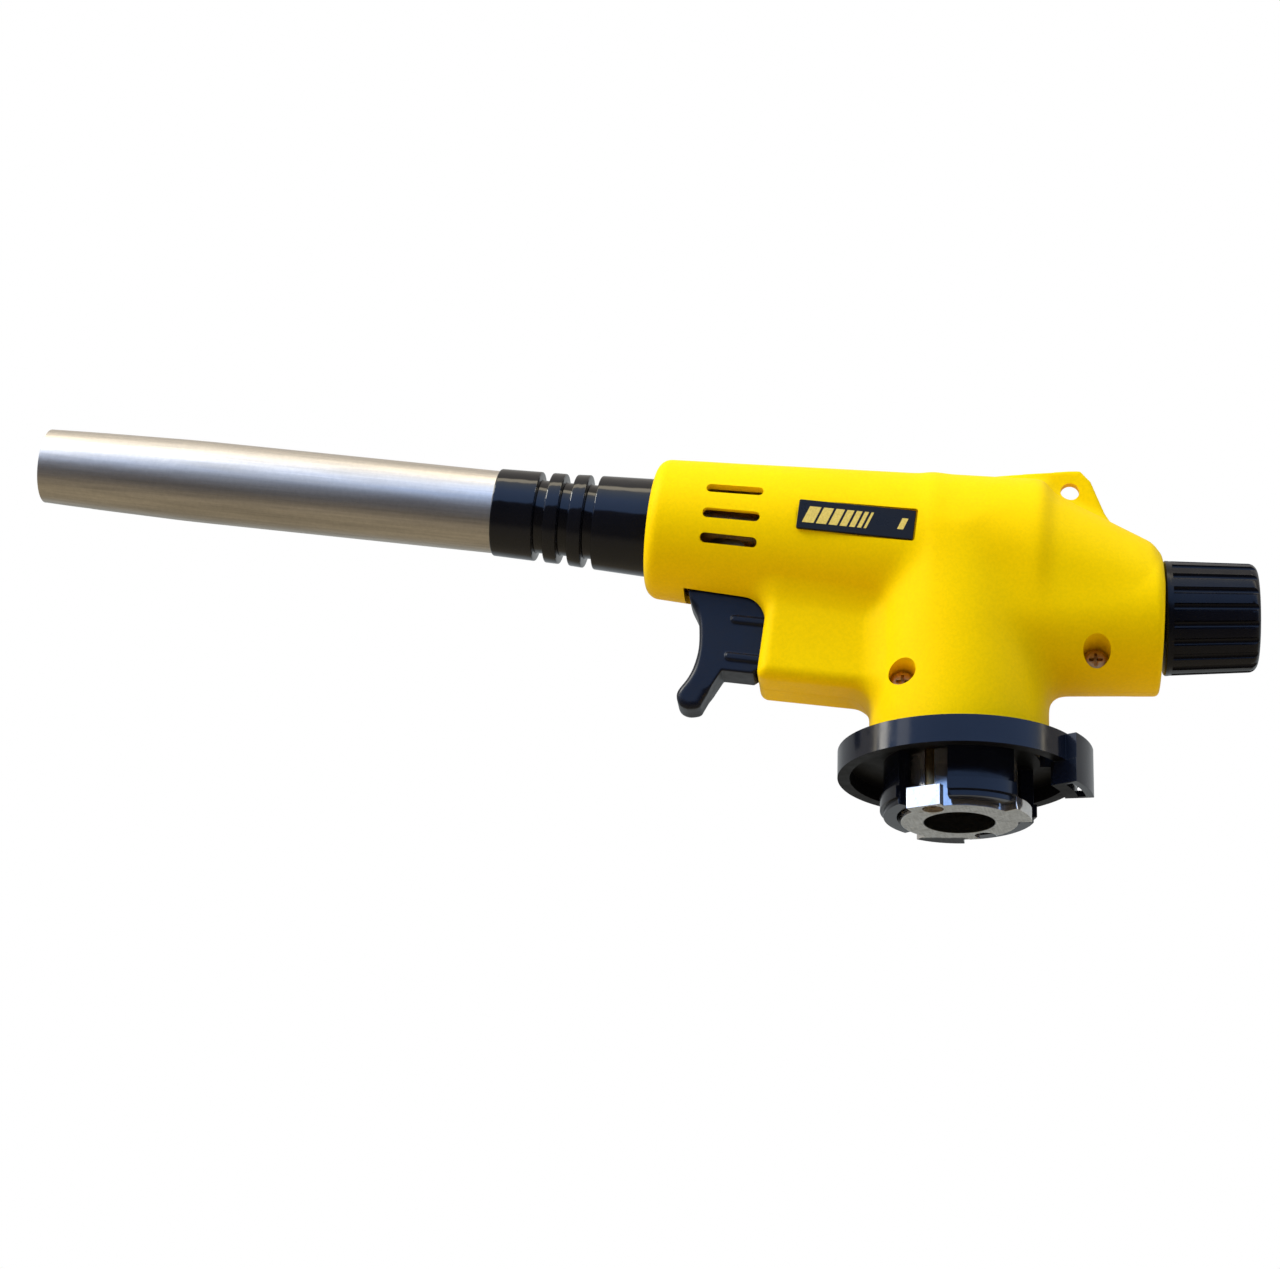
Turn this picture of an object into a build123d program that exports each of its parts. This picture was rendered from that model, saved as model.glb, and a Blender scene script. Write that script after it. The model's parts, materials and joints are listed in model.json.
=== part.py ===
from build123d import *
import math
import os
from math import sin, cos, tan, radians, sqrt, pi, hypot

os.makedirs("parts", exist_ok=True)

# =====================================================================
# Hand-held piezo gas torch head for a bayonet-collar gas cartridge.
# Frame: origin on the cartridge axis at the connector's lower face,
# +Z up along the cartridge axis, the flame tube points along -X.
# =====================================================================

# ---- driving dimensions (mm) ----
tilt = 6.677                 # rise of the flame tube towards its mouth, degrees
ax_x, ax_z = -60.0, 62.515   # reference point on the tube axis
wall = 2.0                   # housing wall
floor = 1.6                  # floor of the block under the igniter
seam = 0.05                  # half of the parting gap between the housing halves

tube_r, tube_t = 8.5, 0.5    # flame tube
tube_d0, tube_d1 = 26.8, 130.55
sleeve_clear = 0.04

nose_d = 2.1                 # nose face of the housing, along the tube axis
barrel_r0, barrel_k = 14.307, 0.04618   # housing barrel radius at the reference point and its taper

neck_r, neck_z0 = 17.8, 14.45
rear_r, rear_z = 15.6, 42.67     # rear body, round about the knob axis
rear_x1 = 40.4

block_hw = 8.5               # half width of the block behind the trigger
slot_hw = 4.45               # half width of the trigger slot

ring_or, ring_ir = 24.0, 21.6
ring_z0, ring_z1 = 8.91, 14.40
web_z0 = 11.9

conn_r, conn_bore = 11.5, 6.95
conn_z1 = 11.85
bolt_a = (-5.15, -8.8)
bolt_b = (5.15, 8.8)

knob_x0, knob_x1 = 40.62, 59.1
knob_collar_r, knob_r0, knob_r1 = 11.5, 11.45, 10.85
pitch = 0.7                  # spindle thread

trig_travel = 6.5
trig_hw = 3.8

screw1 = (-11.1, 26.7)       # housing screws, x and z
screw2 = (26.9, 32.0)
ear_hole = (22.6, 69.8)
ear_hole_r = 1.9

c, s = cos(radians(tilt)), sin(radians(tilt))


def ax(d, up=0.0):
    """Point on the tube axis, d ahead of the reference point and up above the axis."""
    return (ax_x - d * c + up * s, 0, ax_z + d * s + up * c)


def cross(d, up=0.0):
    """Plane across the tube axis: local x to the left side, local y up, normal to the mouth."""
    return Plane(origin=ax(d, up), x_dir=(0, -1, 0), z_dir=(-c, 0, s))


prof = Plane(origin=ax(0), x_dir=(-c, 0, s), z_dir=(0, 1, 0))
tube_axis = Axis(ax(0), (-c, 0, s))


def x_at(x, up=0.0):
    """Distance along the tube axis of the point above station x."""
    return -(x - ax_x) / c


def yz(x):
    """Plane across X at station x: local x = -Y, local y = Z."""
    return Plane(origin=(x, 0, 0), x_dir=(0, -1, 0), z_dir=(-1, 0, 0))


knob_axis = Axis((0, 0, rear_z), (1, 0, 0))
knob_prof = Plane(origin=(0, 0, rear_z), x_dir=(1, 0, 0), z_dir=(0, -1, 0))


def piezo_pt(x, up=0.0):
    """Point on the igniter axis, which is parallel to the tube axis."""
    return (x + up * s, 0, 36.45 - (x + 11.0) * tan(radians(tilt)) + up * c)


# ---------------------------------------------------------------------
# housing: outer form
# ---------------------------------------------------------------------
def r_barrel(d):
    return barrel_r0 - barrel_k * d


rear_sections = [   # x, upper radius, upper centre z, lower radius, lower centre z
    (-4.0, 16.85, 55.96, 15.4, rear_z),
    (14.5, 17.45, 53.7, rear_r, rear_z),
    (rear_x1, 14.3, 42.5, 15.0, 42.05),
]

with BuildPart() as outer_form:
    # barrel, a slender cone on the tube axis
    with BuildSketch(prof):
        with BuildLine():
            Polyline((nose_d, 0), (nose_d, r_barrel(nose_d) - 2.0))
            RadiusArc((nose_d, r_barrel(nose_d) - 2.0), (nose_d - 2.0, r_barrel(nose_d - 2.0)), 2.05)
            Polyline((nose_d - 2.0, r_barrel(nose_d - 2.0)), (-76, r_barrel(-76)), (-76, 0), (nose_d, 0))
        make_face()
    revolve(axis=tube_axis)
    # neck over the cartridge
    with BuildSketch(Plane.XY.offset(neck_z0)):
        Circle(neck_r)
    extrude(amount=40)
    # rear body, tapering from the barrel to the knob end
    for i in range(2):
        a, b = rear_sections[i], rear_sections[i + 1]
        with BuildSketch(yz(a[0])):
            with Locations((0, a[2])):
                Circle(a[1])
            with Locations((0, a[4])):
                Circle(a[3])
            make_hull()
        with BuildSketch(yz(b[0])):
            with Locations((0, b[2])):
                Circle(b[1])
            with Locations((0, b[4])):
                Circle(b[3])
            make_hull()
        loft(ruled=True)
    # block behind the trigger
    with BuildSketch(Plane.XZ):
        with BuildLine():
            Polyline((-40.1, 27.9), (-3.0, 23.75), (-3.0, 52.0), (-37.3, 52.0), (-40.1, 27.9))
        make_face()
    extrude(amount=block_hw, both=True)

outer = outer_form.part


def soft(shape, picks, radii):
    """Round the picked edges with the first radius that can be built."""
    for r in radii:
        for sel in picks:
            edges = sel(shape)
            if not edges:
                continue
            try:
                res = shape.fillet(r, edges)
                if res.is_valid and res.volume > 0:
                    return res
            except Exception:
                continue
    return shape


# rounding of the block's lower and front edges, then of the knob end
outer = soft(outer, [lambda p: [e for e in p.edges()
                                if abs(e.center().Z - 25.9) < 2.3 and abs(abs(e.center().Y) - block_hw) < 0.2
                                and e.center().X < -15]], [2.6, 2.0, 1.5])
outer = soft(outer, [lambda p: [e for e in p.edges()
                                if -40.6 < e.center().X < -37.8 and e.center().Z < 47
                                and abs(abs(e.center().Y) - block_hw) < 3.2]], [2.2, 1.5, 1.0])
outer = soft(outer, [lambda p: [e for e in p.edges() if abs(e.center().X - rear_x1) < 0.05]], [1.2, 0.8])

# ear for a hanging cord, on the top of the rear slope
with BuildPart() as ear_form:
    with BuildSketch(Plane.XZ):
        with BuildLine():
            Polyline((-4.0, 70.0), (-1.0, 72.7), (11.5, 73.8), (22.5, 74.5), (24.7, 74.5), (26.8, 72.2), (29.5, 65.2), (31.6, 61.6),
                     (28.0, 59.5), (-4.0, 67.0), (-4.0, 70.0))
        make_face()
    extrude(amount=0.9, both=True)

# ---------------------------------------------------------------------
# housing: cavity
# ---------------------------------------------------------------------
with BuildPart() as cavity:
    with BuildSketch(prof):
        with BuildLine():
            Polyline((-3.6, 0), (-3.6, r_barrel(-3.6) - wall), (-74, r_barrel(-74) - wall), (-74, 0), (-3.6, 0))
        make_face()
    revolve(axis=tube_axis)
    with BuildSketch(Plane.XY.offset(neck_z0 - 1)):
        Circle(neck_r - wall)
    extrude(amount=39)
    inner_sections = [
        (-4.0, 16.85 - wall, 55.96, 15.4 - wall, rear_z),
        (13.5, 17.45 - wall, 53.5, rear_r - wall, rear_z),
        (rear_x1 - wall, 14.3 - wall, 43.0, 15.0 - wall, 42.1),
    ]
    for i in range(2):
        a, b = inner_sections[i], inner_sections[i + 1]
        with BuildSketch(yz(a[0])):
            with Locations((0, a[2])):
                Circle(a[1])
            with Locations((0, a[4])):
                Circle(a[3])
            make_hull()
        with BuildSketch(yz(b[0])):
            with Locations((0, b[2])):
                Circle(b[1])
            with Locations((0, b[4])):
                Circle(b[3])
            make_hull()
        loft(ruled=True)
    with BuildSketch(Plane.XZ):
        with BuildLine():
            Polyline((-40.1 + wall, 27.7 + floor), (-3.0, 23.7 + floor), (-3.0, 50.0), (-37.3 + wall, 50.0),
                     (-40.1 + wall, 27.7 + floor))
        make_face()
    extrude(amount=block_hw - wall, both=True)

# screw bosses, one pair of half bosses on each screw axis
with BuildPart() as bosses:
    for x, z in (screw1, screw2):
        with BuildSketch(Plane(origin=(x, 0, z), x_dir=(1, 0, 0), z_dir=(0, -1, 0))):
            Circle(3.9)
        extrude(amount=13.0, both=True)

# openings shared by both halves
with BuildPart() as cuts:
    # hole in the nose for the heat sleeve
    with BuildSketch(cross(-3.8)):
        Circle(10.15)
    extrude(amount=8.0)
    # trigger slot: the underside of the barrel and the front of the block
    with BuildSketch(Plane.XZ):
        with BuildLine():
            Polyline((-55.2, 31.2), (-55.2, 52.0), (-35.5, 52.0), (-35.5, 41.0), (-36.4, 29.0), (-55.2, 31.2))
        make_face()
    extrude(amount=slot_hw, both=True)
    # hole for the knob's journal
    with BuildSketch(yz(rear_x1 - wall - 1)):
        with Locations((0, rear_z)):
            Circle(5.18)
    extrude(amount=-6.0)
    # air slots beside the mixing tube
    for side in (1, -1):
        for a in (-24.5, -4.5, 17.5):
            n = Vector(s * sin(radians(a)), -side * cos(radians(a)), c * sin(radians(a)))
            d_mid = x_at(-45.0)
            with BuildSketch(Plane(origin=Vector(*ax(d_mid)) + n * 10.5, x_dir=(-c, 0, s), z_dir=n)):
                SlotOverall(11.5, 1.85)
            extrude(amount=8.0)

# label recess on the left half only
label_d0, label_d1 = x_at(-8.4), x_at(-32.0)
label_mid = (label_d0 + label_d1) / 2
label_y = -16.25
with BuildPart() as label_cut:
    with BuildSketch(Plane(origin=(ax(label_mid)[0], label_y + 0.75, ax(label_mid)[2]), x_dir=(c, 0, -s), z_dir=(0, -1, 0))):
        RectangleRounded(24.0, 6.9, 0.6)
    extrude(amount=4.75)

# screw holes
with BuildPart() as screw_cuts_left:
    for (x, z), y_head in ((screw1, -5.9), (screw2, -3.6)):
        with BuildSketch(Plane(origin=(x, y_head, z), x_dir=(1, 0, 0), z_dir=(0, -1, 0))):
            Circle(2.7)
        extrude(amount=14.0)
        with BuildSketch(Plane(origin=(x, 1.0, z), x_dir=(1, 0, 0), z_dir=(0, -1, 0))):
            Circle(1.6)
        extrude(amount=14.0)
with BuildPart() as screw_cuts_right:
    for (x, z), y_end in ((screw1, 8.2), (screw2, 8.2)):
        with BuildSketch(Plane(origin=(x, -1.0, z), x_dir=(1, 0, 0), z_dir=(0, 1, 0))):
            Circle(1.5)
        extrude(amount=y_end + 1.0)

shell = outer - cavity.part + (bosses.part & outer) - cuts.part

with BuildPart() as left_space:
    with BuildSketch(Plane.XZ.offset(seam)):
        Rectangle(400, 400)
    extrude(amount=60)
with BuildPart() as right_space:
    with BuildSketch(Plane.XZ.offset(-seam)):
        Rectangle(400, 400)
    extrude(amount=-60)
with BuildPart() as ear_slot:
    with BuildSketch(Plane.XZ):
        with BuildLine():
            Polyline((-4.06, 70.1), (-1.0, 73.0), (11.5, 74.1), (22.5, 74.8), (24.8, 74.8), (27.1, 72.3), (29.8, 65.3), (31.9, 61.6),
                     (28.0, 59.3), (-4.06, 66.9), (-4.06, 70.1))
        make_face()
    extrude(amount=0.96, both=True)
with BuildPart() as ear_bore:
    with BuildSketch(Plane(origin=(ear_hole[0], 3.0, ear_hole[1]), x_dir=(1, 0, 0), z_dir=(0, -1, 0))):
        Circle(ear_hole_r)
    extrude(amount=6.0)

with BuildPart() as housing_left:
    add(shell & left_space.part)
    add(ear_form.part)
    add(ear_bore.part, mode=Mode.SUBTRACT)
    add(label_cut.part, mode=Mode.SUBTRACT)
    add(screw_cuts_left.part, mode=Mode.SUBTRACT)
housing_left.part.label = "housing_left"
export_step(housing_left.part, "parts/housing_left.step")

with BuildPart() as housing_right:
    add(shell & right_space.part)
    add(ear_slot.part, mode=Mode.SUBTRACT)
    add(screw_cuts_right.part, mode=Mode.SUBTRACT)
housing_right.part.label = "housing_right"
export_step(housing_right.part, "parts/housing_right.step")
print("housing", housing_left.part.volume, housing_right.part.volume, len(housing_left.part.solids()), len(housing_right.part.solids()))

# self-tapping housing screws with a cross recess, driven in from the left
with BuildPart() as housing_screws:
    for (x, z), y_head in ((screw1, -5.9), (screw2, -3.6)):
        head_plane = Plane(origin=(x, y_head - 0.02, z), x_dir=(1, 0, 0), z_dir=(0, -1, 0))
        with BuildSketch(head_plane):
            Circle(1.95)
        extrude(amount=1.7)
        with BuildSketch(head_plane):
            Circle(1.45)
        extrude(amount=y_head - 7.6)
        with BuildSketch(head_plane.offset(1.7)):
            Rectangle(2.7, 0.62)
            Rectangle(0.62, 2.7)
        extrude(amount=-1.1, mode=Mode.SUBTRACT)
housing_screws.part.label = "housing_screws"
export_step(housing_screws.part, "parts/housing_screws.step")

# plate lying in the recess of the left half
with BuildPart() as label_plate:
    with BuildSketch(Plane(origin=(ax(label_mid)[0], label_y + 0.7, ax(label_mid)[2]), x_dir=(c, 0, -s), z_dir=(0, -1, 0))):
        RectangleRounded(23.3, 6.2, 0.35)
    extrude(amount=0.65)
    chamfer(label_plate.faces().sort_by(Axis.Y)[0].edges(), 0.12)
label_plate.part.label = "label_plate"
export_step(label_plate.part, "parts/label_plate.step")

# ---------------------------------------------------------------------
# flame tube, heat sleeve and burner
# ---------------------------------------------------------------------
with BuildPart() as flame_tube:
    with BuildSketch(prof):
        with BuildLine():
            Polyline((tube_d0, tube_r), (x_at(-155.0), tube_r))
            Spline((x_at(-155.0), tube_r), (x_at(-166.0), 8.33), (x_at(-178.0), 8.06), (tube_d1, 7.7),
                   tangents=((1, 0), (1, -0.035)))
            Line((tube_d1, 7.7), (tube_d1, 7.7 - tube_t))
            Spline((tube_d1, 7.7 - tube_t), (x_at(-178.0), 8.06 - tube_t), (x_at(-166.0), 8.33 - tube_t),
                   (x_at(-155.0), tube_r - tube_t), tangents=((-1, 0.035), (-1, 0)))
            Polyline((x_at(-155.0), tube_r - tube_t), (tube_d0, tube_r - tube_t), (tube_d0, tube_r))
        make_face()
    revolve(axis=tube_axis)
flame_tube.part.label = "flame_tube"
export_step(flame_tube.part, "parts/flame_tube.step")



def groove(x0, x1, r0, r1, rb):
    """Outline of a rounded groove from x0 to x1 in a sleeve, cut down to radius rb."""
    return [(x0, r0), (x0 + 0.14, r0 - 0.16), (x0 + 0.22, rb + 0.15), (x0 + 0.38, rb),
            (x1 - 0.38, rb), (x1 - 0.22, rb + 0.15), (x1 - 0.14, r1 - 0.16), (x1, r1)]


sleeve_in = tube_r + sleeve_clear
bore_in = 6.79               # sleeve bore over the burner
outline = [(-94.3, 8.85), (-94.0, 9.0)]
outline += groove(-85.8, -83.3, 9.2, 9.25, 7.5)
outline += groove(-80.8, -78.3, 9.3, 9.4, 7.5)
outline += groove(-75.75, -73.25, 9.55, 9.65, 7.6)
outline += [(-63.2, 10.05), (-60.0, 10.1), (-56.35, 10.1), (-56.35, 12.1), (-53.6, 12.1)]
with BuildPart() as heat_sleeve:
    with BuildSketch(prof):
        with BuildLine():
            pts = [(x_at(x), r) for x, r in outline]
            Polyline(*pts, (pts[-1][0], bore_in), (tube_d0 - 0.1, bore_in), (tube_d0 - 0.1, sleeve_in), (pts[0][0], sleeve_in), pts[0])
        make_face()
    revolve(axis=tube_axis)
heat_sleeve.part.label = "heat_sleeve"
export_step(heat_sleeve.part, "parts/heat_sleeve.step")

burner_r, burner_in = 6.75, 6.1
ins_off, ins_r = -4.53, 1.38
with BuildPart() as burner_body:
    with BuildSketch(prof):
        with BuildLine():
            Polyline((-34, 3.02), (-34, burner_r), (tube_d0 + 0.1, burner_r), (tube_d0 + 0.1, 7.96), (33, 7.96), (33, burner_in),
                     (-30, burner_in), (-30, 3.02), (-34, 3.02))
        make_face()
    revolve(axis=tube_axis)
    # primary air holes
    for a in (45, 135, 225, 315):
        n = Vector(s * sin(radians(a)), -cos(radians(a)), c * sin(radians(a)))
        with BuildSketch(Plane(origin=Vector(*ax(-14)) + n * 4.0, x_dir=(-c, 0, s), z_dir=n)):
            SlotOverall(8.0, 4.4)
        extrude(amount=6.0, mode=Mode.SUBTRACT)
    with BuildSketch(cross(-36, ins_off)):
        Circle(ins_r + 0.04)
    extrude(amount=8.0, mode=Mode.SUBTRACT)
burner_body.part.label = "burner_body"
export_step(burner_body.part, "parts/burner_body.step")

with BuildPart() as jet_nozzle:
    with BuildSketch(prof):
        with BuildLine():
            Polyline((-38.5, 1.79), (-38.5, 2.98), (-29.6, 2.98), (-28.6, 2.2), (-23.4, 2.2), (-22.4, 1.2), (-22.4, 0.25),
                     (-23.4, 0.25), (-24.4, 1.0), (-34.2, 1.0), (-34.2, 1.79), (-38.5, 1.79))
        make_face()
    revolve(axis=tube_axis)
jet_nozzle.part.label = "jet_nozzle"
export_step(jet_nozzle.part, "parts/jet_nozzle.step")

holder_d0, holder_d1 = 92.0, 94.6
with BuildPart() as flame_holder:
    with BuildSketch(cross(holder_d0)):
        Circle(tube_r - tube_t - 0.04)
        Circle(1.7, mode=Mode.SUBTRACT)
        with Locations((0, ins_off)):
            Circle(ins_r + 0.04, mode=Mode.SUBTRACT)
        with PolarLocations(5.1, 9, start_angle=-50, angular_range=280, rotate=False):
            Circle(1.05, mode=Mode.SUBTRACT)
    extrude(amount=holder_d1 - holder_d0)
    # short skirt that stiffens the disc
    with BuildSketch(cross(holder_d0 - 3.0)):
        Circle(tube_r - tube_t - 0.04)
        Circle(tube_r - tube_t - 0.75, mode=Mode.SUBTRACT)
    extrude(amount=3.0)
flame_holder.part.label = "flame_holder"
export_step(flame_holder.part, "parts/flame_holder.step")

with BuildPart() as ceramic_insulator:
    with BuildSketch(cross(-38, ins_off)):
        Circle(ins_r)
        Circle(0.44, mode=Mode.SUBTRACT)
    extrude(amount=138)
ceramic_insulator.part.label = "ceramic_insulator"
export_step(ceramic_insulator.part, "parts/ceramic_insulator.step")

# electrode wire: straight through the insulator, then bent towards the tube wall
with BuildPart() as electrode_wire:
    with BuildLine(prof) as e_path:
        FilletPolyline((-39.5, ins_off), (105.5, ins_off), (108.5, ins_off - 1.5), radius=1.6)
    with BuildSketch(cross(-39.5, ins_off)):
        Circle(0.4)
    sweep(path=e_path.wires()[0])
electrode_wire.part.label = "electrode_wire"
export_step(electrode_wire.part, "parts/electrode_wire.step")

# ---------------------------------------------------------------------
# collar ring with its claws and the catch tab
# ---------------------------------------------------------------------
def sector(r0, r1, a0, a1, plane):
    """Sketch of an annular sector on a plane, angles in degrees."""
    n = max(2, int(abs(a1 - a0) / 6))
    with BuildSketch(plane, mode=Mode.PRIVATE) as sk:
        with BuildLine():
            p = lambda r, a: (r * cos(radians(a)), r * sin(radians(a)))
            m = (a0 + a1) / 2
            ThreePointArc(p(r1, a0), p(r1, m), p(r1, a1))
            Line(p(r1, a1), p(r0, a1))
            ThreePointArc(p(r0, a1), p(r0, m), p(r0, a0))
            Line(p(r0, a0), p(r1, a0))
        make_face()
    return sk.sketch


claws = ((-99, -45), (12, 82), (136, 218))
with BuildPart() as collar_ring:
    with BuildSketch(Plane.XY.offset(ring_z0)):
        Circle(ring_or)
        Circle(ring_ir, mode=Mode.SUBTRACT)
    extrude(amount=ring_z1 - ring_z0)
    # web plate that the neck stands on
    with BuildSketch(Plane.XY.offset(web_z0)):
        Circle(ring_ir + 0.5)
        Circle(5.3, mode=Mode.SUBTRACT)
        for b in (bolt_a, bolt_b):
            with Locations(b):
                Circle(1.7, mode=Mode.SUBTRACT)
        add(sector(15.9, 18.6, -24, 4, Plane.XY), mode=Mode.SUBTRACT)
    extrude(amount=ring_z1 - web_z0)
    # catch tab outside the ring
    with BuildSketch(Plane.XY.offset(ring_z0)):
        add(sector(ring_or - 0.6, 26.35, -31.6, -7.0, Plane.XY))
    extrude(amount=ring_z1 - ring_z0 - 0.3)
    for r0, r1 in ((20.7, 23.1), (24.85, 26.35)):
        with BuildSketch(Plane.XY.offset(4.2)):
            add(sector(r0, r1, -32, -7.0, Plane.XY))
        extrude(amount=ring_z0 - 4.2)
    with BuildSketch(Plane.XY.offset(4.2)):
        add(sector(20.7, 25.6, -32, -29.6, Plane.XY))
    extrude(amount=ring_z0 - 4.2)
    # floor of the catch tab, with a slot
    with BuildSketch(Plane.XY.offset(4.2)):
        add(sector(20.7, 26.35, -32, -7.0, Plane.XY))
        add(sector(23.3, 24.9, -29.6, -9.0, Plane.XY), mode=Mode.SUBTRACT)
    extrude(amount=1.3)
    # claws around the connector
    for a0, a1 in claws:
        with BuildSketch(Plane.XY.offset(1.0)):
            add(sector(12.3, 14.9, a0, a1, Plane.XY))
        extrude(amount=web_z0 - 1.0)
        with BuildSketch(Plane.XY.offset(2.2)):
            add(sector(14.0, 15.6, a0, a1, Plane.XY))
        extrude(amount=2.6)
try:
    ring_edges = [e for e in collar_ring.part.edges().filter_by(GeomType.CIRCLE)
                  if abs(e.radius - ring_or) < 0.01 and e.length > 20 and e.center().Z > ring_z1 - 0.1]
    rounded = collar_ring.part.fillet(0.9, ring_edges)
    print("ring rounded", len(ring_edges))
    if rounded.is_valid:
        ring_part = rounded
    else:
        ring_part = collar_ring.part
except Exception:
    ring_part = collar_ring.part
ring_part = soft(ring_part, [lambda p: [e for e in p.edges() if abs(math.hypot(e.center().X, e.center().Y) - 26.35) < 0.05
                                        and e.center().Y < -12 and e.length > 2.5 and abs((e % 0.5).Z) > 0.9]],
                 [1.3, 1.0, 0.7, 0.4])
ring_part.label = "collar_ring"
export_step(ring_part, "parts/collar_ring.step")

# ---------------------------------------------------------------------
# valve connector, inlet parts and their screws
# ---------------------------------------------------------------------
lugs = ((-21, 38), (106, 41))
inlet_z = 6.2
seal_r = 6.5
with BuildPart() as valve_connector:
    with BuildSketch(Plane.XY):
        Circle(conn_r)
    extrude(amount=conn_z1)
    for a, w in lugs:
        with BuildSketch(Plane.XY):
            add(sector(conn_r - 1.0, 14.2, a - w / 2, a + w / 2, Plane.XY))
        extrude(amount=2.6)
    # third lug, taller and with a flat outer face
    with BuildSketch(Plane(origin=(0, 0, 0), x_dir=(0.9107, -0.4131, 0), z_dir=(0, 0, 1))):
        with Locations((-1.94, -10.4)):
            Rectangle(7.2, 4.8)
    extrude(amount=4.2)
    with BuildSketch(Plane.XY.offset(conn_z1)):
        Circle(5.2)
    extrude(amount=ring_z1 - conn_z1)
    # stepped bore: cartridge stem, seal seat, filter, gas way
    for r, z0, z1 in ((conn_bore, -1.0, inlet_z), (seal_r + 0.03, 0, inlet_z + 1.4), (3.2, 0, 10.4), (1.5, 0, 20)):
        with BuildSketch(Plane.XY.offset(z0)):
            Circle(r)
        extrude(amount=z1 - z0, mode=Mode.SUBTRACT)
    for b in (bolt_a, bolt_b):
        with BuildSketch(Plane.XY.offset(-1.0)):
            with Locations(b):
                Circle(1.6)
        extrude(amount=20, mode=Mode.SUBTRACT)
        with BuildSketch(Plane.XY.offset(-1.0)):
            with Locations(b):
                Circle(2.1)
        extrude(amount=5.0, mode=Mode.SUBTRACT)
valve_connector.part.label = "valve_connector"
export_step(valve_connector.part, "parts/valve_connector.step")

with BuildPart() as connector_screws:
    for b in (bolt_a, bolt_b):
        with BuildSketch(Plane.XY.offset(3.5)):
            with Locations(b):
                Circle(1.5)
        extrude(amount=13.93)
        with BuildSketch(Plane.XY.offset(1.9)):
            with Locations(b):
                Circle(2.0)
        extrude(amount=2.08)
        with BuildSketch(Plane.XY.offset(1.9)):
            with Locations(b):
                RegularPolygon(1.2, 6)
        extrude(amount=1.2, mode=Mode.SUBTRACT)
connector_screws.part.label = "connector_screws"
export_step(connector_screws.part, "parts/connector_screws.step")

with BuildPart() as inlet_seal:
    with BuildSketch(Plane.XY.offset(inlet_z)):
        Circle(seal_r)
        Circle(3.3, mode=Mode.SUBTRACT)
    extrude(amount=1.37)
inlet_seal.part.label = "inlet_seal"
export_step(inlet_seal.part, "parts/inlet_seal.step")

with BuildPart() as inlet_pin:
    with BuildSketch(Plane.XY.offset(6.3)):
        Circle(1.3)
        Circle(0.5, mode=Mode.SUBTRACT)
    extrude(amount=1.4)
    with BuildSketch(Plane.XY.offset(7.7)):
        Circle(3.1)
        Circle(0.5, mode=Mode.SUBTRACT)
    extrude(amount=1.0)
inlet_pin.part.label = "inlet_pin"
export_step(inlet_pin.part, "parts/inlet_pin.step")

with BuildPart() as inlet_filter:
    with BuildSketch(Plane.XY.offset(8.75)):
        Circle(3.1)
    extrude(amount=1.6)
inlet_filter.part.label = "inlet_filter"
export_step(inlet_filter.part, "parts/inlet_filter.step")

# ---------------------------------------------------------------------
# valve: body, gland, spindle, gas pipe
# ---------------------------------------------------------------------
body_z0 = ring_z1 + 0.02
pipe_x = -6.0
with BuildPart() as valve_body:
    with BuildSketch(Plane.XY.offset(body_z0)):
        Circle(6.2)
        with Locations(bolt_a, bolt_b):
            Circle(3.4)
        make_hull()
    extrude(amount=4.0)
    with BuildSketch(Plane.XY.offset(body_z0)):
        Circle(6.2)
    extrude(amount=rear_z - body_z0)
    with BuildSketch(knob_prof):
        with BuildLine():
            Polyline((-8.0, 0), (-8.0, 5.7), (-7.5, 6.2), (24.0, 6.2), (24.0, 0), (-8.0, 0))
        make_face()
    revolve(axis=knob_axis)
    # gas ways
    with BuildSketch(Plane.XY.offset(body_z0 - 1)):
        Circle(1.5)
    extrude(amount=rear_z - body_z0 + 1, mode=Mode.SUBTRACT)
    with BuildSketch(knob_prof):
        with BuildLine():
            Polyline((-6.8, 0), (-6.8, 0.7), (-4.2, 0.7), (-3.2, 3.0), (19.8, 3.0), (19.8, 4.2), (25.0, 4.2),
                     (25.0, 0), (-6.8, 0))
        make_face()
    revolve(axis=knob_axis, mode=Mode.SUBTRACT)
    with BuildSketch(Plane(origin=(pipe_x, 0, rear_z), x_dir=(1, 0, 0), z_dir=(0, 0, 1))):
        Circle(1.1)
    extrude(amount=10, mode=Mode.SUBTRACT)
    with BuildSketch(Plane(origin=(pipe_x, 0, 46.4), x_dir=(1, 0, 0), z_dir=(0, 0, 1))):
        Circle(1.78)
    extrude(amount=6, mode=Mode.SUBTRACT)
    for b in (bolt_a, bolt_b):
        with BuildSketch(Plane.XY.offset(body_z0 - 0.5)):
            with Locations(b):
                Circle(1.53)
        extrude(amount=3.9, mode=Mode.SUBTRACT)
valve_body.part.label = "valve_body"
export_step(valve_body.part, "parts/valve_body.step")

with BuildPart() as gland_nut:
    with BuildSketch(yz(24.05)):
        with Locations((0, rear_z)):
            RegularPolygon(6.0, 6, major_radius=False)
            Circle(2.07, mode=Mode.SUBTRACT)
    extrude(amount=-7.0)
    with BuildSketch(yz(24.05)):
        with Locations((0, rear_z)):
            Circle(4.16)
            Circle(2.07, mode=Mode.SUBTRACT)
    extrude(amount=4.2)
gland_nut.part.label = "gland_nut"
export_step(gland_nut.part, "parts/gland_nut.step")

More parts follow.
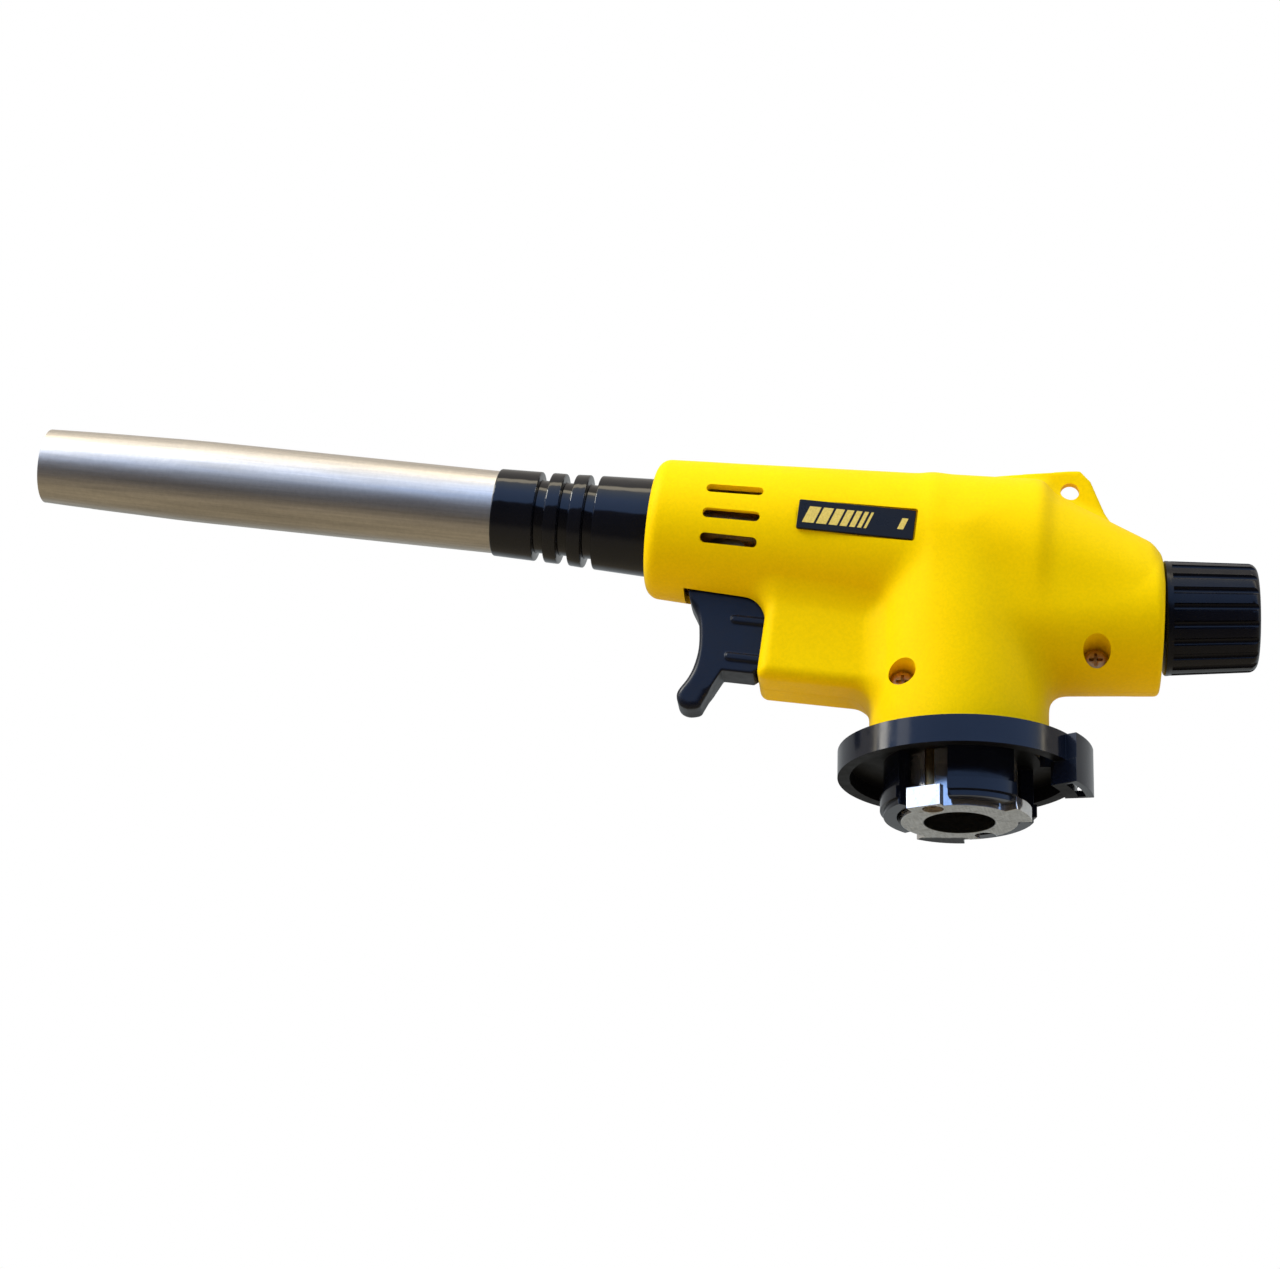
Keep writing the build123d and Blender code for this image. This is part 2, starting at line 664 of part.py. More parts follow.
spin_flat = 1.35
with BuildPart() as valve_spindle:
    with BuildSketch(knob_prof):
        with BuildLine():
            Polyline((-5.2, 0), (-5.2, 0.15), (-3.0, 1.1), (3.6, 1.1), (4.0, 2.94), (5.4, 2.94), (5.4, 2.1),
                     (7.2, 2.1), (7.2, 2.94), (9.0, 2.94), (9.0, 2.3), (10.0, 2.3), (10.3, 2.94), (18.0, 2.94),
                     (18.4, 2.0), (50.4, 2.0), (50.9, 1.5), (50.9, 0), (-5.2, 0))
        make_face()
    revolve(axis=knob_axis)
    with BuildSketch(Plane(origin=(43.3, 0, rear_z + spin_flat + 1.5), x_dir=(1, 0, 0), z_dir=(0, 0, 1))):
        Rectangle(19.0, 6)
    extrude(amount=-1.5, mode=Mode.SUBTRACT)
valve_spindle.part.label = "valve_spindle"
export_step(valve_spindle.part, "parts/valve_spindle.step")

with BuildPart() as spindle_oring:
    with BuildSketch(knob_prof):
        with Locations((6.3, 2.53)):
            Circle(0.4)
    revolve(axis=knob_axis)
spindle_oring.part.label = "spindle_oring"
export_step(spindle_oring.part, "parts/spindle_oring.step")

# gas pipe: up out of the valve body and forward along the tube axis
pipe_corner = (pipe_x, ax_z - (pipe_x - ax_x) * tan(radians(tilt)))
pipe_end = ax(-34.3)
with BuildPart() as gas_pipe:
    with BuildLine(Plane.XZ) as g_path:
        FilletPolyline((pipe_x, 46.5), pipe_corner, (pipe_end[0], pipe_end[2]), radius=7.2)
    with BuildSketch(Plane(origin=(pipe_x, 0, 46.5), x_dir=(1, 0, 0), z_dir=(0, 0, 1))):
        Circle(1.74)
        Circle(1.05, mode=Mode.SUBTRACT)
    sweep(path=g_path.wires()[0])
gas_pipe.part.label = "gas_pipe"
export_step(gas_pipe.part, "parts/gas_pipe.step")

# ---------------------------------------------------------------------
# control knob
# ---------------------------------------------------------------------
with BuildPart() as control_knob:
    with BuildSketch(knob_prof):
        with BuildLine():
            Polyline((36.3, 0), (36.3, 4.8), (36.6, 5.1), (36.75, 5.1), (36.75, 4.4), (37.55, 4.4), (37.55, 5.1),
                     (knob_x0, 5.1), (knob_x0, knob_collar_r - 0.3), (knob_x0 + 0.3, knob_collar_r),
                     (knob_x0 + 0.9, knob_collar_r), (knob_x0 + 1.0, knob_r0), (knob_x1 - 1.8, knob_r1))
            ThreePointArc((knob_x1 - 1.8, knob_r1), (knob_x1 - 0.53, knob_r1 - 0.56), (knob_x1, knob_r1 - 1.8))
            Polyline((knob_x1, knob_r1 - 1.8), (knob_x1, 0), (36.3, 0))
        make_face()
    revolve(axis=knob_axis)
    # bore with a flat that drives the spindle
    with BuildSketch(yz(36.0)):
        with Locations((0, rear_z)):
            Circle(2.06)
        with Locations((0, rear_z + 3.0 + spin_flat + 0.07)):
            Rectangle(8, 6, mode=Mode.SUBTRACT)
    extrude(amount=-17.0, mode=Mode.SUBTRACT)
    # grip flutes, parallel to the knob's taper
    taper = (knob_r0 - knob_r1) / (knob_x1 - 1.8 - knob_x0 - 1.0)
    for i in range(20):
        a = radians(18 * i + 9)
        out = Vector(0, cos(a), sin(a))
        start = Vector(knob_x0 + 1.5, 0, rear_z) + out * (knob_r0 + 0.2)
        with BuildSketch(Plane(origin=start, z_dir=Vector(1, 0, 0) - out * taper)):
            Circle(0.85)
        extrude(amount=20, mode=Mode.SUBTRACT)
control_knob.part.label = "control_knob"
export_step(control_knob.part, "parts/control_knob.step")

with BuildPart() as knob_clip:
    with BuildSketch(yz(36.78)):
        with Locations((0, rear_z)):
            Circle(6.6)
            Circle(4.43, mode=Mode.SUBTRACT)
        with Locations((0, rear_z - 6)):
            Rectangle(3.4, 6, mode=Mode.SUBTRACT)
    extrude(amount=-0.74)
knob_clip.part.label = "knob_clip"
export_step(knob_clip.part, "parts/knob_clip.step")

# ---------------------------------------------------------------------
# trigger and igniter
# ---------------------------------------------------------------------
trig_face = [(-54.3, 47.8), (-53.6, 45.1), (-52.2, 41.9), (-51.85, 38.6), (-52.0, 35.1), (-52.9, 31.6), (-54.1, 29.1),
             (-55.8, 26.7)]
with BuildPart() as trigger:
    with BuildSketch(Plane.XZ):
        with BuildLine():
            Spline(*trig_face)
            Spline((-55.8, 26.7), (-56.1, 25.2), (-55.5, 23.6), (-54.1, 22.75), (-52.5, 22.75), (-51.4, 23.2), (-50.8, 24.2),
                   tangents=((-0.5, -0.86), (0.5, 0.86)))
            Spline((-50.8, 24.2), (-49.0, 27.5), (-47.1, 30.6))
            Polyline((-47.1, 30.6), (-41.0, 29.89), (-36.6, 32.8), (-36.6, 46.6), (-38.0, 48.0), (-54.3, 47.8))
        make_face()
    extrude(amount=trig_hw, both=True)
    # guide ribs on both cheeks
    for side in (1, -1):
        for z_a, z_b, x_a, x_b in ((42.1, 40.8, -45.3, -38.0), (34.2, 32.9, -46.4, -38.0)):
            with BuildSketch(Plane.XZ.offset(side * trig_hw)):
                with BuildLine():
                    k = -tan(radians(tilt)) * (x_b - x_a)
                    Polyline((x_a, z_b), (x_b, z_b + k), (x_b, z_a + k), (x_a, z_a), (x_a, z_b))
                make_face()
            extrude(amount=side * 0.45)
trig_edges = [e for e in trigger.part.edges() if abs(abs(e.center().Y) - trig_hw) < 0.01 and e.center().X < -51.5
              and 24 < e.center().Z < 46]
trig_part = soft(trigger.part, [lambda p: [e for e in p.edges() if abs(abs(e.center().Y) - trig_hw) < 0.01
                                           and e.center().X < -51.5 and 22 < e.center().Z < 46],
                                lambda p: [e for e in p.edges() if abs(abs(e.center().Y) - trig_hw) < 0.01
                                           and e.center().X < -51.5 and 24 < e.center().Z < 46]], [1.4, 1.2, 1.0, 0.8, 0.6])
trig_part.label = "trigger"
export_step(trig_part, "parts/trigger.step")

pz = Plane(origin=piezo_pt(-29.0), x_dir=(0, -1, 0), z_dir=(c, 0, -s))     # looks to the rear
pz_prof = Plane(origin=piezo_pt(-29.0), x_dir=(c, 0, -s), z_dir=(0, -1, 0))
pz_axis = Axis(piezo_pt(-29.0), (c, 0, -s))
case_len = 19.4
with BuildPart() as piezo_case:
    with BuildSketch(pz):
        RectangleRounded(9.2, 10.2, 1.0)
    extrude(amount=case_len)
    with BuildSketch(pz):
        Circle(3.4)
    extrude(amount=17.4, mode=Mode.SUBTRACT)
piezo_case.part.label = "piezo_case"
export_step(piezo_case.part, "parts/piezo_case.step")

with BuildPart() as piezo_plunger:
    with BuildSketch(pz_prof):
        with BuildLine():
            Polyline((-7.3, 0), (-7.3, 3.0), (-6.7, 3.3), (1.5, 3.3), (1.5, 2.25), (-5.8, 2.25), (-5.8, 0), (-7.3, 0))
        make_face()
    revolve(axis=pz_axis)
piezo_plunger.part.label = "piezo_plunger"
export_step(piezo_plunger.part, "parts/piezo_plunger.step")


def coil(r_mid, wire, d0, d1, turns):
    """Coil spring about the igniter axis between stations d0 and d1."""
    with BuildPart() as sp:
        with BuildLine() as h:
            Helix(pitch=(d1 - d0) / turns, height=(d1 - d0), radius=r_mid,
                  center=Vector(*piezo_pt(-29.0)) + Vector(c, 0, -s) * d0, direction=(c, 0, -s))
        with BuildSketch(Plane(origin=h.line @ 0, z_dir=h.line % 0)):
            Circle(wire)
        sweep(path=h.wires()[0], is_frenet=True)
    return sp.part


piezo_spring = coil(1.8, 0.2, -5.5, 2.2, 4)
piezo_spring.label = "piezo_spring"
export_step(piezo_spring, "parts/piezo_spring.step")

with BuildPart() as piezo_hammer:
    with BuildSketch(pz_prof):
        with BuildLine():
            Polyline((2.5, 0), (2.5, 1.9), (8.3, 1.9), (8.3, 3.3), (9.5, 3.3), (9.5, 0), (2.5, 0))
        make_face()
    revolve(axis=pz_axis)
piezo_hammer.part.label = "piezo_hammer"
export_step(piezo_hammer.part, "parts/piezo_hammer.step")

with BuildPart() as piezo_anvil:
    with BuildSketch(pz_prof):
        with BuildLine():
            Polyline((11.5, 0), (11.5, 3.36), (13.0, 3.36), (13.0, 0), (11.5, 0))
        make_face()
    revolve(axis=pz_axis)
piezo_anvil.part.label = "piezo_anvil"
export_step(piezo_anvil.part, "parts/piezo_anvil.step")

with BuildPart() as piezo_crystal:
    with BuildSketch(pz_prof):
        with BuildLine():
            Polyline((13.02, 0), (13.02, 2.6), (17.35, 2.6), (17.35, 0), (13.02, 0))
        make_face()
    revolve(axis=pz_axis)
piezo_crystal.part.label = "piezo_crystal"
export_step(piezo_crystal.part, "parts/piezo_crystal.step")
# insulated lead from the igniter up to the electrode
lead_r = 1.1
lead_pts = [(-13.4, 42.05), (-13.4, 52.1), (ax(-39.7, ins_off)[0], ax(-39.7, ins_off)[2])]
with BuildPart() as ignition_lead:
    with BuildLine(Plane.XZ) as lead_path:
        FilletPolyline(*lead_pts, radius=3.8)
    with BuildSketch(Plane(origin=(lead_pts[0][0], 0, lead_pts[0][1]), x_dir=(1, 0, 0), z_dir=(0, 0, 1))):
        Circle(lead_r)
    sweep(path=lead_path.wires()[0])
ignition_lead.part.label = "ignition_lead"
export_step(ignition_lead.part, "parts/ignition_lead.step")

# brass strip from the igniter's casing to the burner, the return path of the spark
with BuildPart() as earth_strap:
    with BuildSketch(pz_prof):
        with BuildLine():
            Polyline((0.4, 5.12), (5.0, 5.12), (5.0, 5.52), (0.8, 5.52), (0.8, 13.13), (-3.6, 13.13), (-3.6, 12.73),
                     (0.4, 12.73), (0.4, 5.12))
        make_face()
    extrude(amount=1.5, both=True)
earth_strap.part.label = "earth_strap"
export_step(earth_strap.part, "parts/earth_strap.step")
print("done")
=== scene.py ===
import bpy
import bmesh
import json
import math
import numpy as np
from math import radians, sin, cos, tan, pi
from mathutils import Vector, Matrix

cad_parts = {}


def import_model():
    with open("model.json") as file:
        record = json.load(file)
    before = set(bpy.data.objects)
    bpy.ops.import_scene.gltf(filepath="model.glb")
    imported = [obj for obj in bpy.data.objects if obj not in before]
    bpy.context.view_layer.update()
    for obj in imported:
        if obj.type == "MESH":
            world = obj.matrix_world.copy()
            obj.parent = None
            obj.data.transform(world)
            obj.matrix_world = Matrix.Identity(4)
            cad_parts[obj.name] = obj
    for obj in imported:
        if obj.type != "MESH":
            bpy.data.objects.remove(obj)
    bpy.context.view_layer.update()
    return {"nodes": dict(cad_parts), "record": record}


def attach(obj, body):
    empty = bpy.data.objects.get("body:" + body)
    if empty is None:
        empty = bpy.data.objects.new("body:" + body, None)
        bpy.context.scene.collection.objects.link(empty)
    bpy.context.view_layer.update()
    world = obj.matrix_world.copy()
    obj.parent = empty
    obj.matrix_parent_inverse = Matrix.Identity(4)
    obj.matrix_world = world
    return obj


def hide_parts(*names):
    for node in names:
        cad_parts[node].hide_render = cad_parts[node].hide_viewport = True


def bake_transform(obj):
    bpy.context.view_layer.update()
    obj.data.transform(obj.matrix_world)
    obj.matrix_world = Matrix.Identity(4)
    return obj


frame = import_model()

nodes = frame["nodes"]
scene = bpy.context.scene
MM = 0.001
TILT = radians(6.677)
C, S = cos(TILT), sin(TILT)


# ---------------------------------------------------------------- camera
def make_camera():
    cam = bpy.data.cameras.new("camera")
    cam.sensor_width = 36.0
    cam.lens = 91.84
    cam.clip_start, cam.clip_end = 0.01, 100.0
    ob = bpy.data.objects.new("camera", cam)
    scene.collection.objects.link(ob)
    right = Vector((0.99577114, 0.08710665, 0.02919355))
    up = Vector((0.00298024, -0.34823669, 0.9374019))
    fwd = Vector((-0.0918202, 0.93335076, 0.34702364))
    m = Matrix((right, up, -fwd)).transposed().to_4x4()
    m.translation = Vector((-0.00347463, -0.61619573, -0.18950216))
    ob.matrix_world = m
    scene.camera = ob


make_camera()
scene.view_settings.view_transform = "Standard"
scene.view_settings.look = "None"


# ---------------------------------------------------------------- node helpers
def new_material(name):
    m = bpy.data.materials.new(name)
    m.use_nodes = True
    nt = m.node_tree
    return m, nt, nt.nodes["Principled BSDF"]


def coords(nt, scale=(1, 1, 1), rot=(0, 0, 0)):
    """Object coordinates in millimetres."""
    tc = nt.nodes.new("ShaderNodeTexCoord")
    turn = nt.nodes.new("ShaderNodeMapping")
    turn.inputs["Scale"].default_value = (1000.0, 1000.0, 1000.0)
    turn.inputs["Rotation"].default_value = rot
    nt.links.new(tc.outputs["Object"], turn.inputs["Vector"])
    if tuple(scale) == (1, 1, 1):
        return turn.outputs["Vector"]
    mp = nt.nodes.new("ShaderNodeMapping")
    mp.inputs["Scale"].default_value = scale
    nt.links.new(turn.outputs["Vector"], mp.inputs["Vector"])
    return mp.outputs["Vector"]


def noise(nt, vec, scale, detail=2.0, rough=0.5, distortion=0.0):
    n = nt.nodes.new("ShaderNodeTexNoise")
    n.inputs["Scale"].default_value = scale
    n.inputs["Detail"].default_value = detail
    n.inputs["Roughness"].default_value = rough
    n.inputs["Distortion"].default_value = distortion
    nt.links.new(vec, n.inputs["Vector"])
    return n.outputs["Fac"]


def ramp(nt, fac, stops, interp="LINEAR"):
    r = nt.nodes.new("ShaderNodeValToRGB")
    r.color_ramp.interpolation = interp
    el = r.color_ramp.elements
    while len(el) < len(stops):
        el.new(0.5)
    for e, (p, c) in zip(el, stops):
        e.position = p
        e.color = (*c, 1.0) if len(c) == 3 else c
    nt.links.new(fac, r.inputs["Fac"])
    return r.outputs["Color"]


def maprange(nt, val, a, b, c, d):
    n = nt.nodes.new("ShaderNodeMapRange")
    n.inputs["From Min"].default_value = a
    n.inputs["From Max"].default_value = b
    n.inputs["To Min"].default_value = c
    n.inputs["To Max"].default_value = d
    nt.links.new(val, n.inputs["Value"])
    return n.outputs["Result"]


def mathn(nt, op, a, b=None, c=None, clamp=False):
    n = nt.nodes.new("ShaderNodeMath")
    n.operation = op
    n.use_clamp = clamp
    for i, v in enumerate((a, b, c)):
        if v is None:
            continue
        if isinstance(v, (int, float)):
            n.inputs[i].default_value = v
        else:
            nt.links.new(v, n.inputs[i])
    return n.outputs[0]


def mix(nt, fac, a, b, mode="MIX"):
    n = nt.nodes.new("ShaderNodeMix")
    n.data_type = "RGBA"
    n.blend_type = mode
    for sock, v in ((n.inputs[0], fac), (n.inputs[6], a), (n.inputs[7], b)):
        if isinstance(v, (int, float)):
            sock.default_value = v
        elif isinstance(v, (tuple, list)):
            sock.default_value = (*v, 1.0) if len(v) == 3 else v
        else:
            nt.links.new(v, sock)
    return n.outputs[2]


def bump(nt, height, strength, distance_mm, normal=None):
    b = nt.nodes.new("ShaderNodeBump")
    b.inputs["Strength"].default_value = strength
    b.inputs["Distance"].default_value = distance_mm * MM
    nt.links.new(height, b.inputs["Height"])
    if normal is not None:
        nt.links.new(normal, b.inputs["Normal"])
    return b.outputs["Normal"]


# ---------------------------------------------------------------- materials
def plastic(name, base, alt, rough, rough_var=0.05, grain=2.6, grain_depth=0.02, grain_strength=0.35,
            spec=0.5, wave=0.0, mottle=0.06, dirt=None, tint=None):
    """Moulded plastic: eroded-mould grain, slow colour drift, dust in the grain."""
    m, nt, p = new_material(name)
    v = coords(nt)
    slow = noise(nt, v, mottle, 3.0, 0.55)
    col = mix(nt, maprange(nt, slow, 0.3, 0.7, 0.0, 1.0), base, alt)
    fine = noise(nt, v, grain, 3.0, 0.6)
    speck = maprange(nt, fine, 0.35, 0.65, 0.955, 1.03)
    comb = nt.nodes.new("ShaderNodeCombineXYZ")
    for i in range(3):
        nt.links.new(speck, comb.inputs[i])
    col = mix(nt, 1.0, col, comb.outputs[0], "MULTIPLY")
    if dirt is not None:
        d = noise(nt, v, 0.55, 6.0, 0.75)
        df = maprange(nt, d, 0.70, 0.78, 0.0, 0.55)
        col = mix(nt, df, col, dirt)
    nt.links.new(col, p.inputs["Base Color"])
    rn = noise(nt, v, 0.35, 4.0, 0.6)
    nt.links.new(maprange(nt, rn, 0.3, 0.7, rough - rough_var, rough + rough_var), p.inputs["Roughness"])
    nrm = None
    if wave:
        nrm = bump(nt, noise(nt, v, 0.12, 1.0, 0.4), 1.0, wave)
    if grain_depth:
        nrm = bump(nt, fine, grain_strength, grain_depth, nrm)
    if nrm is not None:
        nt.links.new(nrm, p.inputs["Normal"])
    p.inputs["Specular IOR Level"].default_value = spec
    p.inputs["IOR"].default_value = 1.5
    if tint is not None:
        p.inputs["Specular Tint"].default_value = (*tint, 1.0)
    return m


def brushed(name, base, alt, rough, axis_rot=0.0, along=5.0, across=0.12, depth=0.012, aniso=0.0, cloud=0.08, stretch=1.0):
    """Turned or brushed metal: fine lines round the axis, cloudy handling marks."""
    m, nt, p = new_material(name)
    v = coords(nt, (along, across, across), (0, axis_rot, 0))
    lines = noise(nt, v, 1.0, 4.0, 0.65)
    v2 = coords(nt)
    clouds = noise(nt, coords(nt, (1.0 / stretch, 1.0, 1.0), (0, axis_rot, 0)), cloud, 5.0, 0.62)
    fine = noise(nt, v2, 1.1, 4.0, 0.7)
    f = mathn(nt, "MULTIPLY_ADD", clouds, 0.6, mathn(nt, "MULTIPLY", lines, 0.4))
    col = mix(nt, maprange(nt, f, 0.36, 0.64, 0.0, 1.0), base, alt)
    sp = maprange(nt, fine, 0.3, 0.7, 0.93, 1.05)
    comb = nt.nodes.new("ShaderNodeCombineXYZ")
    for i in range(3):
        nt.links.new(sp, comb.inputs[i])
    col = mix(nt, 1.0, col, comb.outputs[0], "MULTIPLY")
    nt.links.new(col, p.inputs["Base Color"])
    p.inputs["Metallic"].default_value = 1.0
    nt.links.new(maprange(nt, clouds, 0.3, 0.7, rough - 0.06, rough + 0.08), p.inputs["Roughness"])
    nrm = bump(nt, lines, 0.35, depth)
    nrm = bump(nt, fine, 0.25, depth, nrm)
    nt.links.new(nrm, p.inputs["Normal"])
    if aniso:
        p.inputs["Anisotropic"].default_value = aniso
    return m


M = {}
M["housing_plastic"] = plastic("housing_plastic", (0.955, 0.64, 0.0), (0.93, 0.605, 0.0), 0.50, 0.05,
                               grain=1.7, grain_depth=0.04, grain_strength=0.5, spec=0.10, dirt=(0.25, 0.14, 0.01), tint=(1.0, 0.80, 0.12))
# Painted reflection: the black plastics below have a bluish tint in their base colours, strongest on the collar and
# trigger, standing in for the blue sky they reflect.
M["phenolic_black"] = plastic("phenolic_black", (0.003, 0.0035, 0.005), (0.005, 0.0055, 0.008), 0.07, 0.02,
                              grain=1.2, grain_depth=0.003, grain_strength=0.2, spec=0.45, wave=0.015, dirt=(0.05, 0.05, 0.05))
M["collar_plastic"] = plastic("collar_plastic", (0.004, 0.005, 0.010), (0.006, 0.008, 0.014), 0.15, 0.05,
                              grain=1.4, grain_depth=0.01, grain_strength=0.3, spec=0.36, wave=0.06, dirt=(0.07, 0.07, 0.07))
M["trigger_plastic"] = plastic("trigger_plastic", (0.005, 0.007, 0.014), (0.007, 0.010, 0.018), 0.34, 0.06,
                               grain=2.6, grain_depth=0.02, grain_strength=0.4, spec=0.24, dirt=(0.06, 0.065, 0.07))
M["knob_plastic"] = plastic("knob_plastic", (0.003, 0.0035, 0.006), (0.005, 0.0055, 0.009), 0.24, 0.05,
                            grain=2.4, grain_depth=0.012, grain_strength=0.35, spec=0.22, dirt=(0.07, 0.07, 0.07))
M["igniter_plastic"] = plastic("igniter_plastic", (0.78, 0.76, 0.70), (0.72, 0.69, 0.62), 0.4, 0.05)
M["ceramic_white"] = plastic("ceramic_white", (0.88, 0.86, 0.80), (0.80, 0.77, 0.70), 0.55, 0.06, grain=4.0)
M["seal_rubber"] = plastic("seal_rubber", (0.02, 0.02, 0.02), (0.035, 0.034, 0.032), 0.62, 0.08, grain=3.0)
M["lead_silicone"] = plastic("lead_silicone", (0.55, 0.04, 0.03), (0.45, 0.035, 0.03), 0.5, 0.05)
M["label_black"] = plastic("label_black", (0.006, 0.006, 0.007), (0.010, 0.010, 0.010), 0.30, 0.06, grain=3.0,
                           grain_depth=0.006, grain_strength=0.25, spec=0.2, dirt=(0.10, 0.09, 0.06))
M["stainless"] = brushed("stainless", (0.75, 0.69, 0.61), (0.49, 0.455, 0.405), 0.42, -TILT, 0.02, 1.5, 0.006, cloud=0.30, stretch=14.0)
M["brass"] = brushed("brass", (0.72, 0.50, 0.20), (0.62, 0.42, 0.16), 0.28, 0.0, 3.0, 0.2, 0.01)
M["plated_steel"] = brushed("plated_steel", (0.78, 0.56, 0.27), (0.52, 0.36, 0.16), 0.42, 0.0, 2.0, 2.0, 0.01)
M["spring_steel"] = brushed("spring_steel", (0.52, 0.52, 0.52), (0.42, 0.42, 0.43), 0.30, 0.0, 2.0, 1.0, 0.01)
M["sintered_bronze"] = brushed("sintered_bronze", (0.42, 0.29, 0.16), (0.30, 0.20, 0.11), 0.55, 0.0, 6.0, 6.0, 0.06)


def chromed():
    """Chromed zinc casting: mirror flanks, a machined and scratched lower face."""
    m, nt, p = new_material("chromed_casting")
    v = coords(nt)
    geo = nt.nodes.new("ShaderNodeNewGeometry")
    sep = nt.nodes.new("ShaderNodeSeparateXYZ")
    nt.links.new(geo.outputs["Normal"], sep.inputs[0])
    face = maprange(nt, sep.outputs[2], -0.95, -0.8, 1.0, 0.0)
    clouds = noise(nt, v, 0.35, 5.0, 0.65)
    scr = noise(nt, coords(nt, (0.25, 3.2, 1.0), (0, 0, 0.6)), 1.0, 4.0, 0.7)
    scr2 = noise(nt, coords(nt, (3.0, 0.3, 1.0), (0, 0, 0.2)), 1.0, 4.0, 0.7)
    f = mathn(nt, "MULTIPLY_ADD", scr, 0.5, mathn(nt, "MULTIPLY", scr2, 0.5))
    wear_and_shade = mix(nt, maprange(nt, f, 0.38, 0.62, 0.0, 1.0), (0.74, 0.76, 0.76), (0.42, 0.44, 0.45))
    wear_and_shade = mix(nt, maprange(nt, clouds, 0.55, 0.72, 0.0, 0.6), wear_and_shade, (0.22, 0.22, 0.20))
    plate = mix(nt, maprange(nt, clouds, 0.3, 0.7, 0.0, 1.0), (0.78, 0.78, 0.77), (0.66, 0.65, 0.63))
    sv = nt.nodes.new("ShaderNodeSeparateXYZ")
    nt.links.new(v, sv.inputs[0])
    # Painted shade: the lower face by the far lug (y past about 10.5 mm, x under 1 to 2 mm) is turned near black, on
    # top of the real wear and scratches.
    edge = maprange(nt, mathn(nt, "MULTIPLY_ADD", clouds, 1.4, sv.outputs[1]), 10.5, 11.3, 0.0, 1.0)
    edge = mathn(nt, "MULTIPLY", edge, maprange(nt, sv.outputs[0], 1.0, 2.0, 1.0, 0.0))
    wear_and_shade = mix(nt, edge, wear_and_shade, (0.02, 0.02, 0.022))
    rad = mathn(nt, "SQRT", mathn(nt, "ADD", mathn(nt, "MULTIPLY", sv.outputs[0], sv.outputs[0]),
                                  mathn(nt, "MULTIPLY", sv.outputs[1], sv.outputs[1])))
    inside = maprange(nt, rad, 7.05, 7.2, 1.0, 0.0)
    plate = mix(nt, inside, plate, (0.10, 0.105, 0.10))
    wear_and_shade = mix(nt, inside, wear_and_shade, (0.10, 0.105, 0.10))
    nt.links.new(mix(nt, face, plate, wear_and_shade), p.inputs["Base Color"])
    p.inputs["Metallic"].default_value = 0.92
    rr = maprange(nt, f, 0.3, 0.7, 0.34, 0.52)
    rs = maprange(nt, clouds, 0.3, 0.7, 0.09, 0.2)
    one = mathn(nt, "SUBTRACT", 1.0, face)
    nt.links.new(mathn(nt, "ADD", mathn(nt, "MULTIPLY", rr, face), mathn(nt, "MULTIPLY", rs, one)), p.inputs["Roughness"])
    nrm = bump(nt, f, 0.35, 0.03)
    nrm = bump(nt, noise(nt, v, 0.5, 2.0, 0.5), 0.5, 0.05, nrm)
    nt.links.new(nrm, p.inputs["Normal"])
    return m


M["chromed_casting"] = chromed()

node_slot = {s["node"]: s["material_slot"] for s in frame["record"]["subparts"]}
for n, ob in nodes.items():
    mat = M[node_slot[n]]
    ob.data.materials.clear()
    ob.data.materials.append(mat)
    ob.data.polygons.foreach_set("material_index", [0] * len(ob.data.polygons))


# ---------------------------------------------------------------- housing: smooth moulded form
H = 0.4
X0, X1 = -66.0, 43.0
Y0, Y1 = -21.0, 5.0
Z0, Z1 = 11.5, 78.5
gx = np.arange(X0, X1 + H / 2, H)
gy = np.arange(Y0, Y1 + H / 2, H)
gz = np.arange(Z0, Z1 + H / 2, H)
GX, GY, GZ = np.meshgrid(gx, gy, gz, indexing="ij", sparse=True)
full = np.zeros((len(gx), len(gy), len(gz)))


def rmax(a, b, r):
    """Intersection with a convex rounding of radius r."""
    u, v = np.maximum(a + r, 0), np.maximum(b + r, 0)
    return np.minimum(np.maximum(a, b), -r) + np.hypot(u, v)


def unit_grad(a):
    g = np.gradient(a, H)
    n = np.sqrt(g[0] ** 2 + g[1] ** 2 + g[2] ** 2) + 1e-9
    return [q / n for q in g], n


def join(a, b, r, power=0.5):
    """Union with a concave rounding that fades where the two faces run nearly parallel."""
    ga, _ = unit_grad(a)
    gb, _ = unit_grad(b)
    dot = ga[0] * gb[0] + ga[1] * gb[1] + ga[2] * gb[2]
    k = r * np.clip(1 - dot, 0, 1) ** power + 1e-4
    u, v = np.maximum(k - a, 0), np.maximum(k - b, 0)
    soft = np.maximum(k, np.minimum(a, b)) - np.hypot(u, v)
    return np.where((a > -2.5 * r) & (b > -2.5 * r), soft, np.minimum(a, b))


def blur(a, spread):
    """Gaussian blur, separable."""
    n = int(math.ceil(3 * spread / H))
    w = np.exp(-0.5 * (np.arange(-n, n + 1) * H / spread) ** 2)
    w /= w.sum()
    for axis in range(3):
        pad = [(0, 0)] * 3
        pad[axis] = (n, n)
        p = np.pad(a, pad, mode="edge")
        out = np.zeros_like(a)
        sl = [slice(None)] * 3
        for i, wi in enumerate(w):
            sl[axis] = slice(i, i + a.shape[axis])
            out += wi * p[tuple(sl)]
        a = out
    return a


